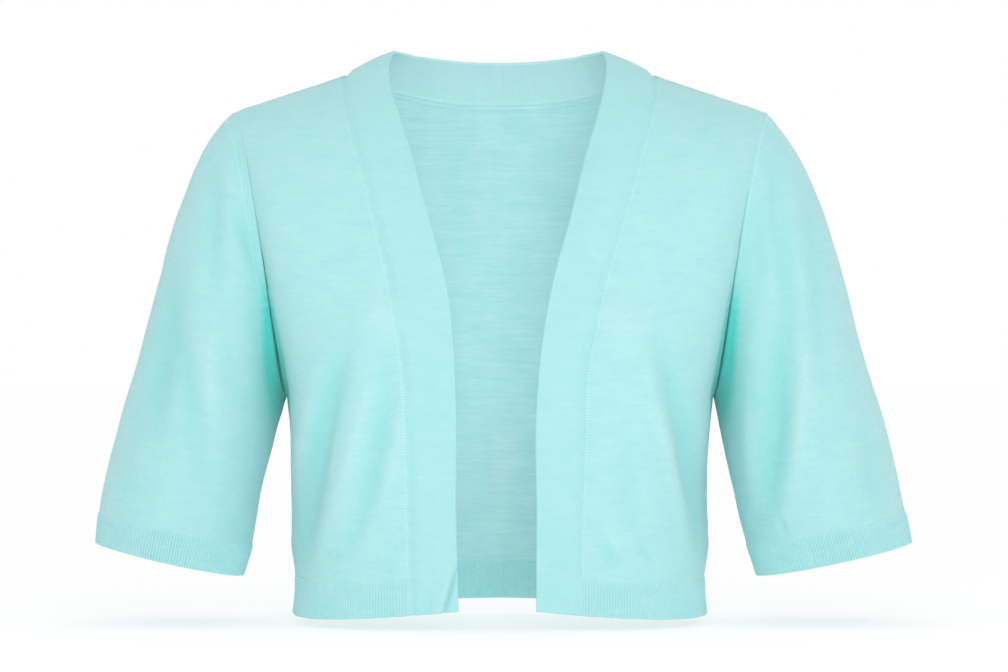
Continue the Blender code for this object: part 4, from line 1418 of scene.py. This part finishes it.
def stitch_run(line, normals, across, marks, step, length, thick):
    """Stitches at even steps of the marks of a line: each is a bar laid across it, whose
    section is a flattened circle that closes at both ends as sin of its length. Returns
    points and faces."""
    count = round(marks[-1] / step)
    spots = np.arange(1, count) * marks[-1] / count
    middle, up, side = (resampled(values, marks, spots) for values in (line, normals, across))
    up, side = unit(up), unit(side)
    run = unit(np.cross(up, side))
    ends = np.linspace(0, math.pi, RUNG_RINGS)
    ring = np.linspace(0, 2 * math.pi, RUNG_SIDES, endpoint=False)
    along = -np.cos(ends)[:, None] * length / 2 * np.ones(RUNG_SIDES)
    swell = np.maximum(np.sin(ends), RUNG_END)[:, None]
    wide = swell * np.cos(ring) * thick
    high = swell * np.sin(ring) * thick * RUNG_FLATNESS
    points = (
        middle[:, None, None]
        + along[None, ..., None] * side[:, None, None]
        + wide[None, ..., None] * run[:, None, None]
        + high[None, ..., None] * up[:, None, None]
    )
    index = np.arange(RUNG_RINGS * RUNG_SIDES).reshape(RUNG_RINGS, RUNG_SIDES)
    sides = np.stack(cells(rejoined(index)), axis=-1).reshape(-1, 4)[:, [0, 3, 2, 1]]
    faces = np.concatenate([sides, [index[0], index[-1, ::-1]]])
    faces = faces[None] + index.size * np.arange(count - 1)[:, None, None]
    return points.reshape(-1, 3), faces.reshape(-1, 4)


def join_runs(name, runs, material):
    """One object from several runs of stitches."""
    starts = np.cumsum([0] + [len(points) for points, _ in runs])
    points = np.concatenate([points for points, _ in runs]) * MILLIMETRE
    faces = np.concatenate([faces + start for (_, faces), start in zip(runs, starts)])
    return make_mesh(name, points, faces, [material])


def edge_run(grid, normals, inset):
    """A line on a grid that keeps a distance from its first column: its points, outward
    directions, the direction away from the column and distances along the column."""
    over = widths(grid)
    rows = np.arange(len(grid))
    far = (over > inset).argmax(axis=1)
    first, second = over[rows, far - 1], over[rows, far]
    share = ((inset - first) / (second - first))[:, None]
    line = grid[rows, far - 1] * (1 - share) + grid[rows, far] * share
    return line, normals[rows, far], grid[rows, far] - grid[rows, far - 1], lengths(grid[:, 0])


# Dressing

SLOT_KNITS = {
    # slot: the knits of a piece's outside and, where it differs, of its inside
    "jersey": ("jersey_outside", "jersey_inside"),
    "rib": ("ribbing",),
    "band": ("band_jersey", "band_inside"),
}


def dress(*nodes):
    """Makes cut pieces and puts them on the garment, each in place of its solid."""
    for node in nodes:
        slot, held, width, length, area = CUTS[node.removesuffix("_left").removesuffix("_right")]
        cloth = garment()[node]
        flat_map = cloth.strip_map() if slot == "band" else cloth.knit_map()
        piece = cloth.build(f"{node}_cloth", [knit(name) for name in SLOT_KNITS[slot]], flat_map)
        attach(piece, "root")
        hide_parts(node)


class CARDIGAN_OT_body(bpy.types.Operator):
    """Makes the back and the two fronts"""

    bl_idname = "cardigan.body"
    bl_label = "Back and Fronts"

    def execute(self, context):
        dress("back", "front_left", "front_right")
        return {"FINISHED"}


class CARDIGAN_OT_sleeves(bpy.types.Operator):
    """Makes the two sleeves"""

    bl_idname = "cardigan.sleeves"
    bl_label = "Sleeves"

    def execute(self, context):
        dress("sleeve_left", "sleeve_right")
        return {"FINISHED"}


class CARDIGAN_OT_band(bpy.types.Operator):
    """Makes the doubled band up both fronts and round the back of the neck"""

    bl_idname = "cardigan.band"
    bl_label = "Front Band"

    def execute(self, context):
        dress("front_band")
        return {"FINISHED"}


class CARDIGAN_OT_ribs(bpy.types.Operator):
    """Makes the ribs of the hem and the cuffs"""

    bl_idname = "cardigan.ribs"
    bl_label = "Hem and Cuff Ribs"

    def execute(self, context):
        dress("hem_rib_back", "hem_rib_front_left", "hem_rib_front_right")
        dress("cuff_rib_left", "cuff_rib_right")
        return {"FINISHED"}


class CARDIGAN_OT_stitching(bpy.types.Operator):
    """Makes the rungs of the linking stitches along the band's seam"""

    bl_idname = "cardigan.stitching"
    bl_label = "Seam Stitches"

    def execute(self, context):
        pieces = garment()
        left, right, back = pieces["front_left"], pieces["front_right"], pieces["back"]
        neck = back.ladder[1]
        seams = [(left.grid, left.normals), (right.grid, right.normals)]
        seams.append([part[::-1, neck].swapaxes(0, 1) for part in (back.grid, back.normals)])
        step = in_mm(context.scene.cardigan_sizes.stitch_step)
        runs = [
            stitch_run(*edge_run(*seam, LADDER_FROM_BAND), step, 2 * LADDER_HALF, RUNG_THICK)
            for seam in seams
        ]
        rungs = join_runs("band_linking", runs, sewing_thread())
        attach(rungs, "root")
        return {"FINISHED"}


class CARDIGAN_OT_stage(bpy.types.Operator):
    """Makes the floor, the soft lights and the camera"""

    bl_idname = "cardigan.stage"
    bl_label = "Stage"

    def execute(self, context):
        make_floor(context.scene)
        make_lights(context.scene)
        make_camera(context.scene)
        return {"FINISHED"}


# The stage: metres

FLOOR_HEIGHT = -0.392
FLOOR_REACH = 14.0
FLOOR_LINES = 15
FLOOR_GLOW = 0.64
CAMERA_DISTANCE = 3.0
CAMERA_SIDE = 0.003
CAMERA_HEIGHT = -0.1809
CAMERA_LENS = 144.8
SENSOR = 36.0
SKY_STRENGTH = 0.8
SKY_SEEN = 1.0
LAMPS = {
    # name: place, the point it faces, width, height, power in watts
    "key_lamp": ((0.15, -1.5, 0.1), (0.0, 0, -0.15), 0.6, 0.6, 5.9),
    "inside_lamp": ((0, -0.045, -0.16), (0, 0.1, -0.17), 0.16, 0.25, 0.115),
}


def make_floor(scene):
    """A plain square floor below the hem: a grid of even steps both ways, which glows a little
    so that it stays pale under the garment."""
    steps = np.linspace(-FLOOR_REACH, FLOOR_REACH, FLOOR_LINES)
    points = np.stack(np.meshgrid(steps, steps, FLOOR_HEIGHT), axis=-1).reshape(-1, 3)
    index = np.arange(len(points)).reshape(FLOOR_LINES, FLOOR_LINES)
    quads = np.stack(cells(index), axis=-1).reshape(-1, 4)
    nodes = Nodes("floor")
    place = nodes.add("ShaderNodeTexCoord").outputs["Object"]
    shade = nodes.maths("MULTIPLY_ADD", nodes.noise(place, 3.0), 0.02, 0.98)
    colour = (*scene.cardigan_colours.floor, 1)
    tint = nodes.add("ShaderNodeHueSaturation", {"Color": colour, "Value": shade})
    looks = {
        "Base Color": tint.outputs[0],
        "Roughness": 0.9,
        "Specular IOR Level": 0.1,
        "Emission Color": (1.0, 1.0, 1.0, 1.0),
        "Emission Strength": FLOOR_GLOW,
    }
    make_mesh("floor", points, quads, [nodes.finish(looks)])


def put_up(scene, name, data, place, turn):
    """Puts a lamp or the camera on the stage."""
    thing = bpy.data.objects.new(name, data)
    scene.collection.objects.link(thing)
    thing.location = place
    thing.rotation_euler = turn
    return thing


def make_lights(scene):
    """An even pale sky, which is white where it is seen and lights a little less, and soft
    lamps in front of the garment and inside it."""
    world = bpy.data.worlds.new("studio")
    world.use_nodes = True
    tree = world.node_tree
    sky = tree.nodes["Background"]
    seen = tree.nodes.new("ShaderNodeBackground")
    for part, strength in ((sky, SKY_STRENGTH), (seen, SKY_SEEN)):
        part.inputs["Color"].default_value = (1.0, 1.0, 1.0, 1.0)
        part.inputs["Strength"].default_value = strength
    path = tree.nodes.new("ShaderNodeLightPath")
    both = tree.nodes.new("ShaderNodeMixShader")
    tree.links.new(path.outputs["Is Camera Ray"], both.inputs[0])
    tree.links.new(sky.outputs[0], both.inputs[1])
    tree.links.new(seen.outputs[0], both.inputs[2])
    tree.links.new(both.outputs[0], tree.nodes["World Output"].inputs[0])
    scene.world = world
    for name, (place, faces, width, height, power) in LAMPS.items():
        lamp = bpy.data.lights.new(name, "AREA")
        lamp.shape = "RECTANGLE"
        lamp.size, lamp.size_y = width, height
        lamp.energy = power
        x, y, z = np.array(faces, float) - place
        turn = (math.atan2(math.hypot(x, y), -z), 0, math.atan2(-x, y))
        put_up(scene, name, lamp, place, turn).visible_camera = False


def make_camera(scene):
    """A level camera in front of the garment."""
    camera = bpy.data.cameras.new("camera")
    camera.lens = CAMERA_LENS
    camera.sensor_width = SENSOR
    camera.dof.use_dof = False
    place = (CAMERA_SIDE, -CAMERA_DISTANCE, CAMERA_HEIGHT)
    scene.camera = put_up(scene, "camera", camera, place, (math.pi / 2, 0, 0))
    scene.view_settings.view_transform = "Standard"


STEPS = (
    CARDIGAN_OT_body,
    CARDIGAN_OT_sleeves,
    CARDIGAN_OT_band,
    CARDIGAN_OT_ribs,
    CARDIGAN_OT_stitching,
    CARDIGAN_OT_stage,
)


class CARDIGAN_PT_panel(bpy.types.Panel):
    """The cardigan's pieces, sizes and colours"""

    bl_idname = "CARDIGAN_PT_panel"
    bl_label = "Cardigan"
    bl_space_type = "VIEW_3D"
    bl_region_type = "UI"
    bl_category = "Cardigan"

    def draw(self, context):
        layout = self.layout
        for step in STEPS:
            layout.operator(step.bl_idname)
        for group in (context.scene.cardigan_sizes, context.scene.cardigan_colours):
            for name in group.__annotations__:
                layout.prop(group, name)


CLASSES = (CardiganSizes, CardiganColours, *STEPS, CARDIGAN_PT_panel)


def register():
    for each in CLASSES:
        bpy.utils.register_class(each)
    bpy.types.Scene.cardigan_sizes = PointerProperty(type=CardiganSizes)
    bpy.types.Scene.cardigan_colours = PointerProperty(type=CardiganColours)


def unregister():
    del bpy.types.Scene.cardigan_colours
    del bpy.types.Scene.cardigan_sizes
    for each in reversed(CLASSES):
        bpy.utils.unregister_class(each)


def main():
    register()
    bpy.ops.cardigan.body()
    bpy.ops.cardigan.sleeves()
    bpy.ops.cardigan.band()
    bpy.ops.cardigan.ribs()
    bpy.ops.cardigan.stitching()
    bpy.ops.cardigan.stage()
    bpy.context.view_layer.update()


if __name__ == "__main__":
    main()
